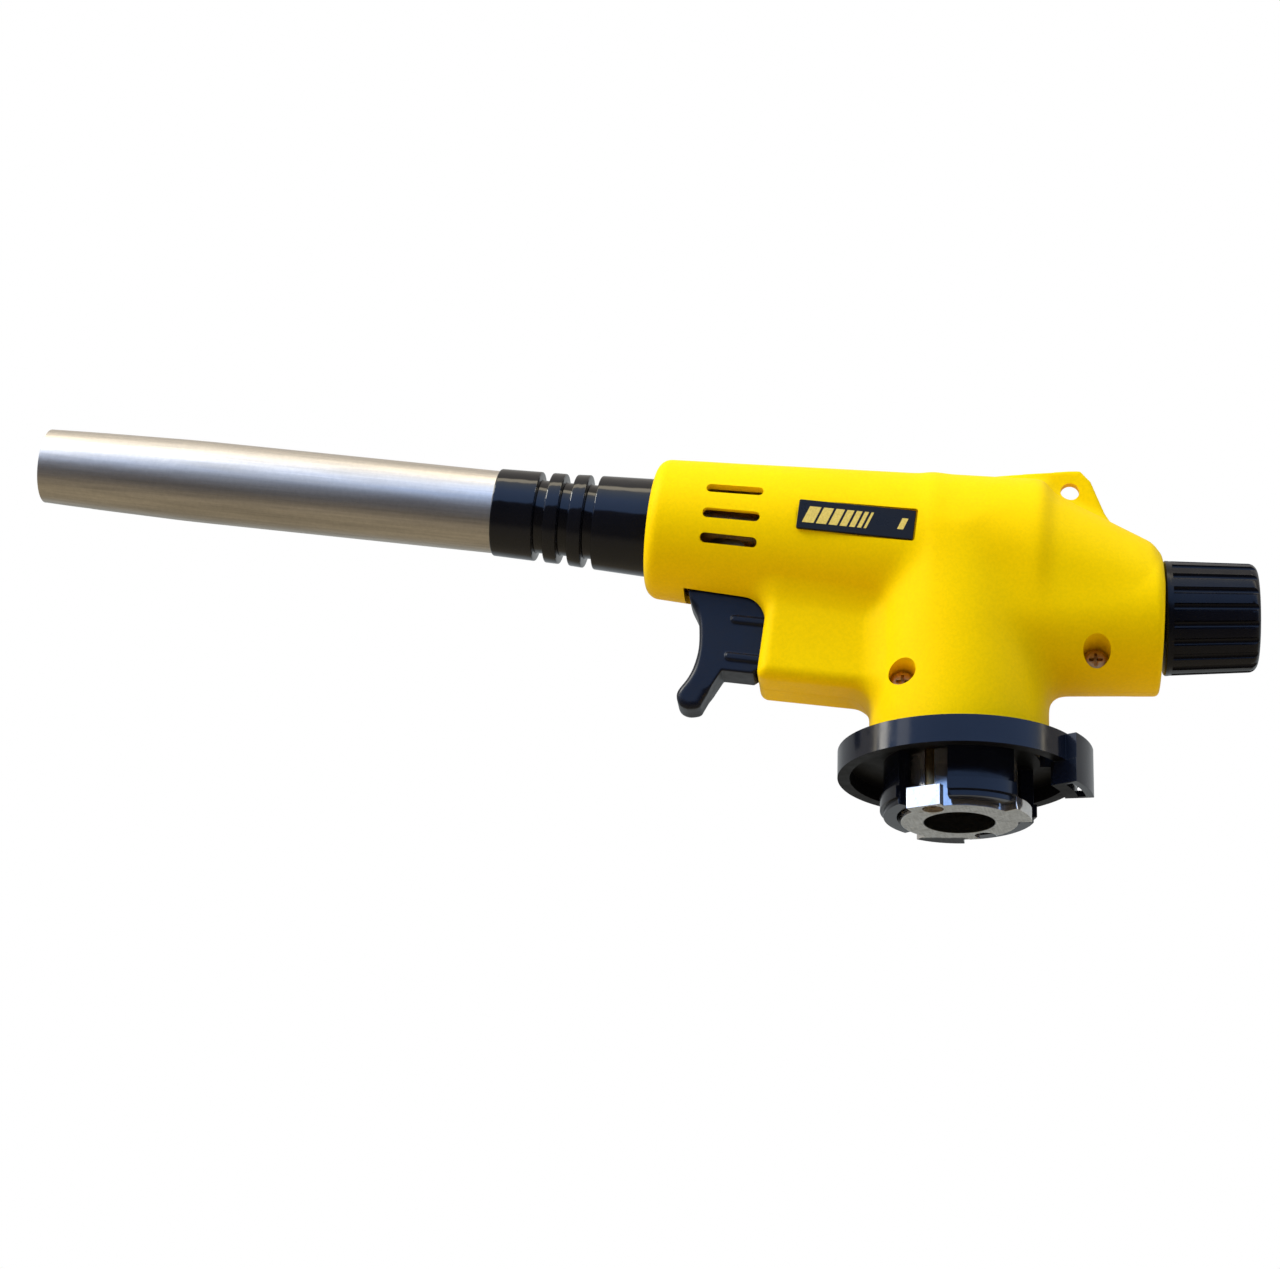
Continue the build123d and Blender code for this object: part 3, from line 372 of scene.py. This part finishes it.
def polygon2d(px, pz, pts):
    """Signed distance to a closed polygon, negative inside."""
    d = np.full(np.broadcast(px, pz).shape, 1e9)
    sign = np.ones(d.shape)
    n = len(pts)
    for i in range(n):
        ax_, az_ = pts[i]
        bx, bz = pts[i - 1]
        ex, ez = bx - ax_, bz - az_
        wx, wz = px - ax_, pz - az_
        t = np.clip((wx * ex + wz * ez) / (ex * ex + ez * ez), 0, 1)
        d = np.minimum(d, (wx - ex * t) ** 2 + (wz - ez * t) ** 2)
        c1, c2, c3 = pz >= az_, pz < bz, ex * wz > ez * wx
        flip = (c1 & c2 & c3) | (~c1 & ~c2 & ~c3)
        sign = np.where(flip, -sign, sign)
    return sign * np.sqrt(d)


def smoothstep(a, b, x):
    t = np.clip((x - a) / (b - a), 0, 1)
    return t * t * (3 - 2 * t)


DX, DZ = GX + 60.0, GZ - 62.515
Dd = -DX * C + DZ * S + 0 * GY
Up = DX * S + DZ * C + 0 * GY
aY = np.abs(GY)
rb = 14.307 - 0.04618 * Dd
barrel = (np.hypot(aY, Up) - rb) * 0.9989
barrel = rmax(barrel, Dd - 2.1, 2.6)
barrel = np.maximum(barrel, -76.0 - Dd)

rho = np.hypot(GX + 0 * GZ, aY)
cap = np.where(Up > 0, np.hypot(aY, Up), aY + 0 * Up) - (rb + 0.7 - 4.6 * smoothstep(0.0, 14.0, Up))
neck = np.maximum(rho - 17.8 + full, cap)

xs = np.array([-4.0, 14.5, 40.4])
sx = np.clip(GX, -5.0, 41.5)


def lin(v):
    out = np.interp(sx, xs, v)
    slope = (v[2] - v[1]) / (xs[2] - xs[1])
    return np.where(sx > xs[2], v[2] + slope * (sx - xs[2]), out)


Rt, Zt = lin([16.85, 17.45, 14.3]), lin([55.96, 53.7, 42.5])
Rb_, Zb = lin([15.4, 15.6, 15.0]), lin([42.67, 42.67, 42.05])
hh = np.maximum(Zt - Zb, 0.3)
bb = np.clip((Rb_ - Rt) / hh, -0.9999, 0.9999)
aa = np.sqrt(1 - bb * bb)
pz = GZ - Zb
kk = -bb * aY + aa * pz
rear = np.where(kk < 0, np.hypot(aY, pz) - Rb_,
                np.where(kk > aa * hh, np.hypot(aY, pz - hh) - Rt, aY * aa + pz * bb - Rb_)) + full
_, gn = unit_grad(rear)
rear = rear / np.clip(gn, 1.0, 1.3)
r_end = 0.9 + 1.9 * smoothstep(30.0, 57.0, GZ)
rear = rmax(rear, GX - 40.4 + 0.045 * np.maximum(45.0 - GZ, 0) + full, r_end)
rear = np.maximum(rear, -4.0 - GX)

F = join(barrel, neck, 2.0)
F = join(F, rear, 3.6)
mask_y = smoothstep(0.0, 6.0, aY + 0 * GX + 0 * GZ)
soft_body = blur(F, 1.15)
# keep the crisp nose and end face, soften the rest
keep = smoothstep(-52.0, -44.0, GX) * (1 - smoothstep(32.0, 36.0, GX))
F = F * (1 - keep) + soft_body * keep

# block behind the trigger
n1 = (-0.9933, 0.1154)
n2 = (-0.1112, -0.9938)
pl1 = (GX + 40.1) * n1[0] + (GZ - 27.9) * n1[1]
pl2 = (GX + 40.1) * n2[0] + (GZ - 27.9) * n2[1]
prof2 = rmax(pl1, pl2, 1.9)
prof2 = np.maximum(prof2, np.maximum(GZ - 52.0, GX + 3.0))
block = rmax(prof2 + full, aY - 8.5 + full, 2.6)
F = join(F, block, 5.0, 0.6)

# ear for a hanging cord
ear_pts = [(-4.0, 70.0), (-1.0, 72.7), (11.5, 73.8), (22.5, 74.5), (24.7, 74.5), (26.8, 72.2), (29.5, 65.2),
           (31.6, 61.6), (28.0, 59.5), (-4.0, 67.0)]
gx2, gz2 = np.meshgrid(gx, gz, indexing="ij")
ear2 = polygon2d(gx2, gz2, [(x, z) for x, z in ear_pts]) + 0.6
ear2 = ear2[:, None, :] + full
ear = rmax(ear2 - 0.6, aY - 0.95 + full, 0.45)
F = join(F, ear, 2.6, 0.6)
F = np.maximum(F, 14.45 - GZ)

# cavity, screw bosses
WALL = 1.6
cav = np.maximum(F + WALL, Dd + 3.6)
cav = np.minimum(cav, np.maximum(rho - 15.8, np.abs(GZ - 16.0) - 5.0))
ear_keep = polygon2d(gx2, gz2, [(-1.0, 68.5), (27.0, 61.0), (33.0, 80.0), (-6.0, 80.0)])[:, None, :] + full
shell = np.maximum(F, -cav)
for bx, bz in ((-11.1, 26.7), (26.9, 32.0)):
    boss = np.hypot(GX - bx, GZ - bz) - 3.9
    shell = np.minimum(shell, np.maximum(boss + full, F))
shell[:, -1, :] = np.maximum(shell[:, -1, :], H)
for sl in (np.s_[0, :, :], np.s_[-1, :, :], np.s_[:, 0, :], np.s_[:, :, 0], np.s_[:, :, -1]):
    shell[sl] = np.maximum(shell[sl], H)


def surface_nets(A):
    inside = A < 0
    nx, ny, nz = A.shape
    cnt = np.zeros((nx - 1, ny - 1, nz - 1), np.int8)
    for i in (0, 1):
        for j in (0, 1):
            for k in (0, 1):
                cnt += inside[i:nx - 1 + i, j:ny - 1 + j, k:nz - 1 + k]
    active = (cnt > 0) & (cnt < 8)
    cells = np.argwhere(active)
    index = np.full(active.shape, -1, np.int64)
    index[active] = np.arange(len(cells))
    acc = np.zeros((len(cells), 3))
    num = np.zeros(len(cells))
    for axis in range(3):
        o1, o2 = [a for a in range(3) if a != axis]
        for i in (0, 1):
            for j in (0, 1):
                off = np.zeros(3, np.int64)
                off[o1], off[o2] = i, j
                p0 = cells + off
                step = np.zeros(3, np.int64)
                step[axis] = 1
                p1 = p0 + step
                f0 = A[p0[:, 0], p0[:, 1], p0[:, 2]]
                f1 = A[p1[:, 0], p1[:, 1], p1[:, 2]]
                hit = (f0 < 0) != (f1 < 0)
                t = np.where(hit, f0 / np.where(hit, f0 - f1, 1), 0)
                pos = off[None, :] + step[None, :] * t[:, None]
                acc[hit] += pos[hit]
                num[hit] += 1
    verts = cells + acc / num[:, None]
    quads = []
    for axis in range(3):
        o1, o2 = (axis + 1) % 3, (axis + 2) % 3
        lo = [slice(None)] * 3
        hi = [slice(None)] * 3
        lo[axis], hi[axis] = slice(0, -1), slice(1, None)
        change = inside[tuple(lo)] != inside[tuple(hi)]
        pts = np.argwhere(change)
        ok = (pts[:, o1] > 0) & (pts[:, o2] > 0) & (pts[:, o1] < A.shape[o1] - 1) & (pts[:, o2] < A.shape[o2] - 1)
        pts = pts[ok]
        d1 = np.zeros(3, np.int64)
        d2 = np.zeros(3, np.int64)
        d1[o1], d2[o2] = 1, 1
        q = [pts - d1 - d2, pts - d2, pts, pts - d1]
        ids = np.stack([index[a[:, 0], a[:, 1], a[:, 2]] for a in q], 1)
        outward = inside[pts[:, 0], pts[:, 1], pts[:, 2]]
        ids = np.where(outward[:, None], ids, ids[:, ::-1])
        quads.append(ids)
    return verts, np.concatenate(quads)


def sample(A, v):
    """Trilinear value at grid coordinates v."""
    i = np.clip(np.floor(v).astype(int), 0, np.array(A.shape) - 2)
    f = v - i
    c = {}
    for a in (0, 1):
        for b in (0, 1):
            for d in (0, 1):
                c[a, b, d] = A[i[:, 0] + a, i[:, 1] + b, i[:, 2] + d]
    fx, fy, fz = f[:, 0], f[:, 1], f[:, 2]
    x00 = c[0, 0, 0] * (1 - fx) + c[1, 0, 0] * fx
    x10 = c[0, 1, 0] * (1 - fx) + c[1, 1, 0] * fx
    x01 = c[0, 0, 1] * (1 - fx) + c[1, 0, 1] * fx
    x11 = c[0, 1, 1] * (1 - fx) + c[1, 1, 1] * fx
    y0 = x00 * (1 - fy) + x10 * fy
    y1 = x01 * (1 - fy) + x11 * fy
    return y0 * (1 - fz) + y1 * fz


def skin(A, step, origin):
    """Smooth quad mesh of the zero surface of a distance grid, in millimetres."""
    v, q = surface_nets(A)
    e = np.concatenate([q[:, [0, 1]], q[:, [1, 2]], q[:, [2, 3]], q[:, [3, 0]]])
    deg = np.bincount(e.ravel(), minlength=len(v)).astype(float)
    grads = np.gradient(A)
    for _ in range(3):
        avg = np.stack([np.bincount(e[:, 0], v[e[:, 1], a], len(v)) +
                        np.bincount(e[:, 1], v[e[:, 0], a], len(v)) for a in range(3)], 1) / deg[:, None]
        v = v + 0.5 * (avg - v)
        f = sample(A, v)
        g = np.stack([sample(w, v) for w in grads], 1)
        n2 = (g * g).sum(1)
        ok = n2 > 0.02
        move = np.where(ok, f / np.where(ok, n2, 1), 0)
        v = v - g * np.clip(move, -0.5, 0.5)[:, None]
    return v * step + np.array(origin), q


verts, quads = skin(shell, H, (X0, Y0, Z0))


def mesh_object(name, v, f):
    me = bpy.data.meshes.new(name)
    me.from_pydata([tuple(p) for p in v], [], [tuple(q) for q in f])
    me.validate()
    me.update()
    ob = bpy.data.objects.new(name, me)
    scene.collection.objects.link(ob)
    return ob


# ---------------------------------------------------------------- cutters (millimetres)
def prism(outline, origin, xd, zd, depth):
    """Closed prism of a 2D outline: local x along xd, local y = zd x xd, extruded along zd."""
    xd, zd = Vector(xd).normalized(), Vector(zd).normalized()
    yd = zd.cross(xd)
    o = Vector(origin)
    n = len(outline)
    v = [o + xd * a + yd * b for a, b in outline] + [o + xd * a + yd * b + zd * depth for a, b in outline]
    f = [tuple(range(n))[::-1], tuple(range(n, 2 * n))] + [(i, (i + 1) % n, n + (i + 1) % n, n + i) for i in range(n)]
    return v, f


def circle(r, n=64):
    return [(r * cos(2 * pi * i / n), r * sin(2 * pi * i / n)) for i in range(n)]


def stadium(length, width, n=16):
    r, h = width / 2, (length - width) / 2
    return [(h + r * cos(a), r * sin(a)) for a in [(-pi / 2 + pi * i / n) for i in range(n + 1)]] + \
           [(-h + r * cos(a), r * sin(a)) for a in [(pi / 2 + pi * i / n) for i in range(n + 1)]]


def rounded_rect(w, h, r, n=8):
    out = []
    for cx, cy, a0 in ((w / 2 - r, h / 2 - r, 0), (-w / 2 + r, h / 2 - r, pi / 2), (-w / 2 + r, -h / 2 + r, pi),
                       (w / 2 - r, -h / 2 + r, 1.5 * pi)):
        out += [(cx + r * cos(a0 + pi / 2 * i / n), cy + r * sin(a0 + pi / 2 * i / n)) for i in range(n + 1)]
    return out


def cutter(name, v, f):
    ob = mesh_object(name, v, f)
    bm = bmesh.new()
    bm.from_mesh(ob.data)
    bmesh.ops.recalc_face_normals(bm, faces=bm.faces)
    bm.to_mesh(ob.data)
    bm.free()
    return ob


def axp(d, up=0.0):
    return Vector((-60.0 - d * C + up * S, 0, 62.515 + d * S + up * C))


def boolean(ob, cut, op="DIFFERENCE"):
    before = len(ob.data.vertices)
    m = ob.modifiers.new("cut", "BOOLEAN")
    m.operation = op
    m.object = cut
    m.solver = "MANIFOLD"
    dg = bpy.context.evaluated_depsgraph_get()
    new = bpy.data.meshes.new_from_object(ob.evaluated_get(dg))
    ob.modifiers.clear()
    if len(new.vertices) < before * 0.2:
        raise RuntimeError("cut failed: " + cut.name)
    old = ob.data
    ob.data = new
    bpy.data.meshes.remove(old)
    bpy.data.objects.remove(cut, do_unlink=True)


def flipped(v, f):
    return [(p[0], -p[1], p[2]) for p in v], [tuple(q)[::-1] for q in f]


def make_half(side):
    """side -1: left half with the plate, side +1: right half."""
    v, f = [tuple(p) for p in verts], [tuple(q) for q in quads]
    if side > 0:
        v, f = flipped(v, f)
    name = "housing_shell_left" if side < 0 else "housing_shell_right"
    ob = mesh_object(name, v, f)
    sgn = side
    box = [(-80, 0), (60, 0), (60, 100), (-80, 100)]
    # parting face at the middle
    cv, cf = prism([(a, b) for a, b in box], (0, 0.05 * sgn, 0), (1, 0, 0), (0, -sgn, 0), 12.0)
    if sgn > 0:
        cv = [Vector((p.x, 0.05 - (0.05 - p.y), p.z)) for p in cv]
        cv = [Vector((p.x, p.y, abs(p.z))) for p in cv]
    else:
        cv = [Vector((p.x, p.y, abs(p.z))) for p in cv]
    boolean(ob, cutter("c0", cv, cf))
    # nose bore
    cv, cf = prism(circle(10.15, 96), axp(-4.4), (0, 1, 0), (-C, 0, S), 10.0)
    boolean(ob, cutter("c1", cv, cf))
    # trigger slot
    sp = [(-55.2, 31.2), (-36.4, 29.0), (-35.5, 41.0), (-35.5, 52.0), (-55.2, 52.0)]
    cv = [Vector((x, -4.45, z)) for x, z in sp] + [Vector((x, 4.45, z)) for x, z in sp]
    n = len(sp)
    cf = [tuple(range(n)), tuple(range(n, 2 * n))[::-1]] + [(i, (i + 1) % n, n + (i + 1) % n, n + i) for i in range(n)]
    boolean(ob, cutter("c2", cv, cf))
    # journal hole
    cv, cf = prism(circle(5.18, 64), (36.0, 0, 42.67), (0, 1, 0), (1, 0, 0), 8.0)
    boolean(ob, cutter("c3", cv, cf))
    # air slots
    d_mid = -(-45.0 + 60.0) / C
    for a in (-24.5, -4.5, 17.5):
        nrm = Vector((S * sin(radians(a)), sgn * cos(radians(a)), C * sin(radians(a))))
        o = axp(d_mid) + nrm * 10.5
        cv, cf = prism(stadium(11.6, 2.05), o, (-C, 0, S), nrm, 8.0)
        boolean(ob, cutter("c4", cv, cf))
    if side < 0:
        d0, d1 = -(-8.4 + 60) / C, -(-32.0 + 60) / C
        p = axp((d0 + d1) / 2)
        cv, cf = prism(rounded_rect(24.0, 6.9, 0.6), (p.x, -15.5, p.z), (C, 0, -S), (0, -1, 0), 5.0)
        boolean(ob, cutter("c5", cv, cf))
        for (x, z), y in (((-11.1, 26.7), -5.9), ((26.9, 32.0), -3.6)):
            cv, cf = prism(circle(2.7, 64), (x, y, z), (1, 0, 0), (0, -1, 0), 16.0)
            boolean(ob, cutter("c6", cv, cf))
            cv, cf = prism(circle(1.6, 32), (x, 1.0, z), (1, 0, 0), (0, -1, 0), 12.0)
            boolean(ob, cutter("c7", cv, cf))
    # hole in the ear
    cv, cf = prism(circle(1.9, 48), (22.6, 4.0, 69.8), (1, 0, 0), (0, -1, 0), 8.0)
    boolean(ob, cutter("c8", cv, cf))
    me = ob.data
    me.transform(Matrix.Scale(MM, 4))
    me.shade_smooth()
    me.set_sharp_from_angle(angle=radians(38))
    me.materials.clear()
    me.materials.append(M["housing_plastic"])
    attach(ob, "torch")
    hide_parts("housing_left" if side < 0 else "housing_right")
    print(name, len(me.vertices), "vertices")
    return ob


left = make_half(-1)
right = make_half(1)


# ---------------------------------------------------------------- trigger: rounded blade with two cheek ribs
def curve(pts, n=8):
    """Points of a smooth curve through pts."""
    q = [pts[0]] + list(pts) + [pts[-1]]
    out = []
    for i in range(1, len(q) - 2):
        for k in range(n):
            u = k / n
            out.append(tuple(0.5 * (2 * q[i][a] + (q[i + 1][a] - q[i - 1][a]) * u +
                                    (2 * q[i - 1][a] - 5 * q[i][a] + 4 * q[i + 1][a] - q[i + 2][a]) * u * u +
                                    (3 * q[i][a] - q[i - 1][a] - 3 * q[i + 1][a] + q[i + 2][a]) * u ** 3)
                             for a in (0, 1)))
    return out + [pts[-1]]


def make_trigger():
    h = 0.2
    tx, ty, tz = np.arange(-57.4, -35.6, h), np.arange(-5.1, 5.15, h), np.arange(21.6, 49.2, h)
    tx2, tz2 = np.meshgrid(tx, tz, indexing="ij")
    face = curve([(-54.3, 47.8), (-53.6, 45.1), (-52.2, 41.9), (-51.85, 38.6), (-52.0, 35.1), (-52.9, 31.6), (-54.1, 29.1),
                  (-55.8, 26.7), (-56.1, 25.2), (-55.5, 23.6), (-54.1, 22.8), (-52.5, 22.8), (-51.4, 23.2), (-50.8, 24.2),
                  (-49.0, 27.5), (-47.1, 30.6)])
    pts = face + [(-41.0, 29.89), (-36.6, 32.8), (-36.6, 46.6), (-38.0, 48.0)]
    prof_ = polygon2d(tx2, tz2, pts)[:, None, :] + 0 * ty[None, :, None]
    x3, y3, z3 = tx[:, None, None], np.abs(ty)[None, :, None], tz[None, None, :]
    blade = smoothstep(-49.5, -52.5, x3) * smoothstep(46.5, 44.0, z3) + smoothstep(27.6, 25.4, z3)
    r = 0.3 + 1.05 * np.clip(blade, 0, 1) + 0 * prof_
    body = rmax(prof_, y3 - 3.8 + 0 * prof_, r)
    k = -tan(TILT)
    for z_a, z_b, x_a in ((42.2, 40.7, -45.4), (34.3, 32.8, -46.5)):
        zc = (z_a + z_b) / 2 + k * (x3 - x_a)
        hw = (z_a - z_b) / 2
        px = np.maximum(x_a + hw - x3, 0)
        rib = np.hypot(px, (z3 - zc) * C) - hw
        rib = np.maximum(rib, x3 + 38.2) + 0 * prof_
        rib = rmax(rib, y3 - 4.25 + 0 * prof_, 0.32)
        kk_ = 0.3
        u, v = np.maximum(kk_ - body, 0), np.maximum(kk_ - rib, 0)
        body = np.maximum(kk_, np.minimum(body, rib)) - np.hypot(u, v)
    for sl in (np.s_[0, :, :], np.s_[-1, :, :], np.s_[:, 0, :], np.s_[:, -1, :], np.s_[:, :, 0], np.s_[:, :, -1]):
        body[sl] = np.maximum(body[sl], h)
    v, q = skin(body / h, h, (tx[0], ty[0], tz[0]))
    ob = mesh_object("trigger_blade", v * MM, q)
    ob.data.shade_smooth()
    ob.data.set_sharp_from_angle(angle=radians(50))
    ob.data.materials.append(M["trigger_plastic"])
    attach(ob, "trigger")
    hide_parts("trigger")


make_trigger()


# ---------------------------------------------------------------- igniter spring: a copy of the piezo spring mesh in place
def make_spring():
    ob = bpy.data.objects.new("igniter_spring", nodes["piezo_spring"].data.copy())
    bpy.context.scene.collection.objects.link(ob)
    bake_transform(ob)
    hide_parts("piezo_spring")


make_spring()


# ---------------------------------------------------------------- print on the plate: plain slanted bars
def label_print():
    m, nt, p = new_material("print_yellow")
    v = coords(nt)
    n1_ = noise(nt, v, 3.0, 4.0, 0.7)
    col = mix(nt, maprange(nt, n1_, 0.35, 0.65, 0.0, 1.0), (0.80, 0.60, 0.10), (0.62, 0.44, 0.06))
    nt.links.new(col, p.inputs["Base Color"])
    nt.links.new(maprange(nt, n1_, 0.3, 0.7, 0.3, 0.45), p.inputs["Roughness"])
    d0, d1 = -(-8.4 + 60) / C, -(-32.0 + 60) / C
    pm = axp((d0 + d1) / 2)
    xd, yd = Vector((C, 0, -S)), Vector((S, 0, C))
    verts_, faces_ = [], []

    def slab(outline):
        base = len(verts_)
        n = len(outline)
        for y in (-16.18, -16.24):
            for a, b in outline:
                q = Vector((pm.x, y, pm.z)) + xd * a + yd * b
                verts_.append(tuple(q * MM))
        faces_.append(tuple(base + i for i in range(n))[::-1])
        faces_.append(tuple(base + n + i for i in range(n)))
        for i in range(n):
            j = (i + 1) % n
            faces_.append((base + i, base + j, base + n + j, base + n + i))

    x = -10.6
    for w in (2.3, 2.0, 1.7, 1.4, 1.1, 0.8, 0.5):
        slab([(x, -1.75), (x + w, -1.75), (x + w + 1.2, 1.75), (x + 1.2, 1.75)])
        x += w + 0.5
    slab([(8.3, -1.2), (9.5, -1.2), (10.3, 1.2), (9.1, 1.2)])
    me = bpy.data.meshes.new("label_print")
    me.from_pydata(verts_, [], faces_)
    me.validate()
    bm = bmesh.new()
    bm.from_mesh(me)
    bmesh.ops.recalc_face_normals(bm, faces=bm.faces)
    bm.to_mesh(me)
    bm.free()
    ob = bpy.data.objects.new("label_print", me)
    scene.collection.objects.link(ob)
    me.materials.append(m)
    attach(ob, "torch")


label_print()


# ---------------------------------------------------------------- matte inner faces of the collar ring
matte = plastic("collar_matte", (0.0025, 0.0027, 0.004), (0.004, 0.0042, 0.006), 0.5, 0.06,
                grain=2.0, grain_depth=0.01, grain_strength=0.3, spec=0.12, dirt=(0.03, 0.03, 0.03))
ring_me = nodes["collar_ring"].data
ring_me.materials.append(matte)
nf, nv = len(ring_me.polygons), len(ring_me.vertices)
co = np.zeros(nv * 3)
ring_me.vertices.foreach_get("co", co)
co = co.reshape(-1, 3) / MM
fc = np.array([co[list(q.vertices)].mean(0) for q in ring_me.polygons])
fn = np.array([tuple(q.normal) for q in ring_me.polygons])
fr = np.hypot(fc[:, 0], fc[:, 1])
inner = ((fr < 21.8) & (fr > 15.7)) | ((fn[:, 2] < -0.7) & (fr < 24.2) & (fr > 15.7)) | ((fn[:, 2] < -0.9) & (fc[:, 2] > 10))
ring_me.polygons.foreach_set("material_index", inner.astype(np.int32))


# ---------------------------------------------------------------- soft edges on the CAD solids
def soften(name, width, segments=2, angle=32):
    ob = nodes[name]
    w = ob.modifiers.new("weld", "WELD")
    w.merge_threshold = 0.002 * MM
    b = ob.modifiers.new("edge", "BEVEL")
    b.width = width * MM
    b.segments = segments
    b.limit_method = "ANGLE"
    b.angle_limit = radians(angle)
    b.harden_normals = False
    b.use_clamp_overlap = True
    ob.data.shade_smooth()
    wn = ob.modifiers.new("normals", "WEIGHTED_NORMAL")
    wn.keep_sharp = False
    wn.weight = 80


soften("collar_ring", 0.30, 2)
soften("valve_connector", 0.22, 2)
soften("control_knob", 0.12, 2)
soften("heat_sleeve", 0.14, 2)
soften("housing_screws", 0.12, 2)


# ---------------------------------------------------------------- stage, light
def stage():
    me = bpy.data.meshes.new("floor")
    s, z = 14.0, -1.1
    me.from_pydata([(-s, -s, z), (s, -s, z), (s, s, z), (-s, s, z)], [], [(0, 1, 2, 3)])
    ob = bpy.data.objects.new("floor", me)
    scene.collection.objects.link(ob)
    m, nt, p = new_material("floor_paper")
    v = coords(nt, (0.001, 0.001, 0.001))
    n = noise(nt, v, 2.0, 3.0)
    nt.links.new(mix(nt, n, (0.60, 0.48, 0.36), (0.585, 0.465, 0.345)), p.inputs["Base Color"])
    p.inputs["Roughness"].default_value = 0.9
    me.materials.append(m)
    ob.visible_glossy = False


stage()


def light(name, loc, size, energy, color, target=(-0.06, 0, 0.05), size_y=None):
    ld = bpy.data.lights.new(name, "AREA")
    ld.shape = "RECTANGLE"
    ld.size = size
    ld.size_y = size_y or size
    ld.energy = energy
    ld.color = color
    ob = bpy.data.objects.new(name, ld)
    scene.collection.objects.link(ob)
    ob.location = loc
    d = Vector(target) - Vector(loc)
    ob.rotation_euler = d.to_track_quat("-Z", "Y").to_euler()
    ob.visible_camera = False
    return ob


key = light("key", (-1.34, -0.84, 1.40), 0.75, 31.0, (1.0, 0.98, 0.88))
side = light("side", (-1.5, -0.40, 0.62), 0.26, 3.4, (1.0, 0.94, 0.82), size_y=0.45)
card = light("card", (-0.91, -0.67, 0.42), 0.26, 0.33, (1.0, 0.95, 0.84), target=(0, 0, 0.006))


def world():
    w = bpy.data.worlds.new("studio")
    scene.world = w
    w.use_nodes = True
    nt = w.node_tree
    nt.nodes.clear()
    out = nt.nodes.new("ShaderNodeOutputWorld")
    tc = nt.nodes.new("ShaderNodeTexCoord")
    sep = nt.nodes.new("ShaderNodeSeparateXYZ")
    nt.links.new(tc.outputs["Generated"], sep.inputs[0])
    neg = mathn(nt, "MULTIPLY", sep.outputs[1], -1.0)
    at = mathn(nt, "ARCTAN2", sep.outputs[2], neg)
    t = mathn(nt, "MULTIPLY_ADD", at, 1 / (2 * pi), 0.5)

    def E(deg):
        return (deg + 180) / 360
    back = (0.50, 0.54, 0.56)
    stops = [
        (0.0, back), (E(-160), (0.48, 0.51, 0.52)), (E(-146), (0.32, 0.28, 0.21)), (E(-90), (0.36, 0.31, 0.22)), (E(-62), (0.30, 0.26, 0.20)),
        (E(-46), (0.08, 0.07, 0.06)), (E(0), (0.035, 0.032, 0.035)), (E(9), (0.06, 0.06, 0.08)),
        (E(13), (0.42, 0.72, 1.45)), (E(40), (0.60, 0.92, 1.70)), (E(62), (0.95, 1.15, 1.50)),
        (E(69), (1.2, 1.25, 1.35)), (E(72), (4.1, 3.7, 2.9)), (E(80), (3.9, 3.5, 2.7)), (E(84), (0.62, 0.57, 0.50)),
        (E(130), (0.50, 0.47, 0.43)), (E(150), (0.46, 0.47, 0.47)),
        (1.0, back)]
    col = ramp(nt, t, stops)
    bg = nt.nodes.new("ShaderNodeBackground")
    nt.links.new(col, bg.inputs["Color"])
    bg.inputs["Strength"].default_value = 1.0
    plain = nt.nodes.new("ShaderNodeBackground")
    plain.inputs["Color"].default_value = (1.0, 1.0, 1.0, 1.0)
    plain.inputs["Strength"].default_value = 1.0
    lp = nt.nodes.new("ShaderNodeLightPath")
    mx = nt.nodes.new("ShaderNodeMixShader")
    nt.links.new(lp.outputs["Is Camera Ray"], mx.inputs[0])
    nt.links.new(bg.outputs[0], mx.inputs[1])
    nt.links.new(plain.outputs[0], mx.inputs[2])
    nt.links.new(mx.outputs[0], out.inputs[0])


world()
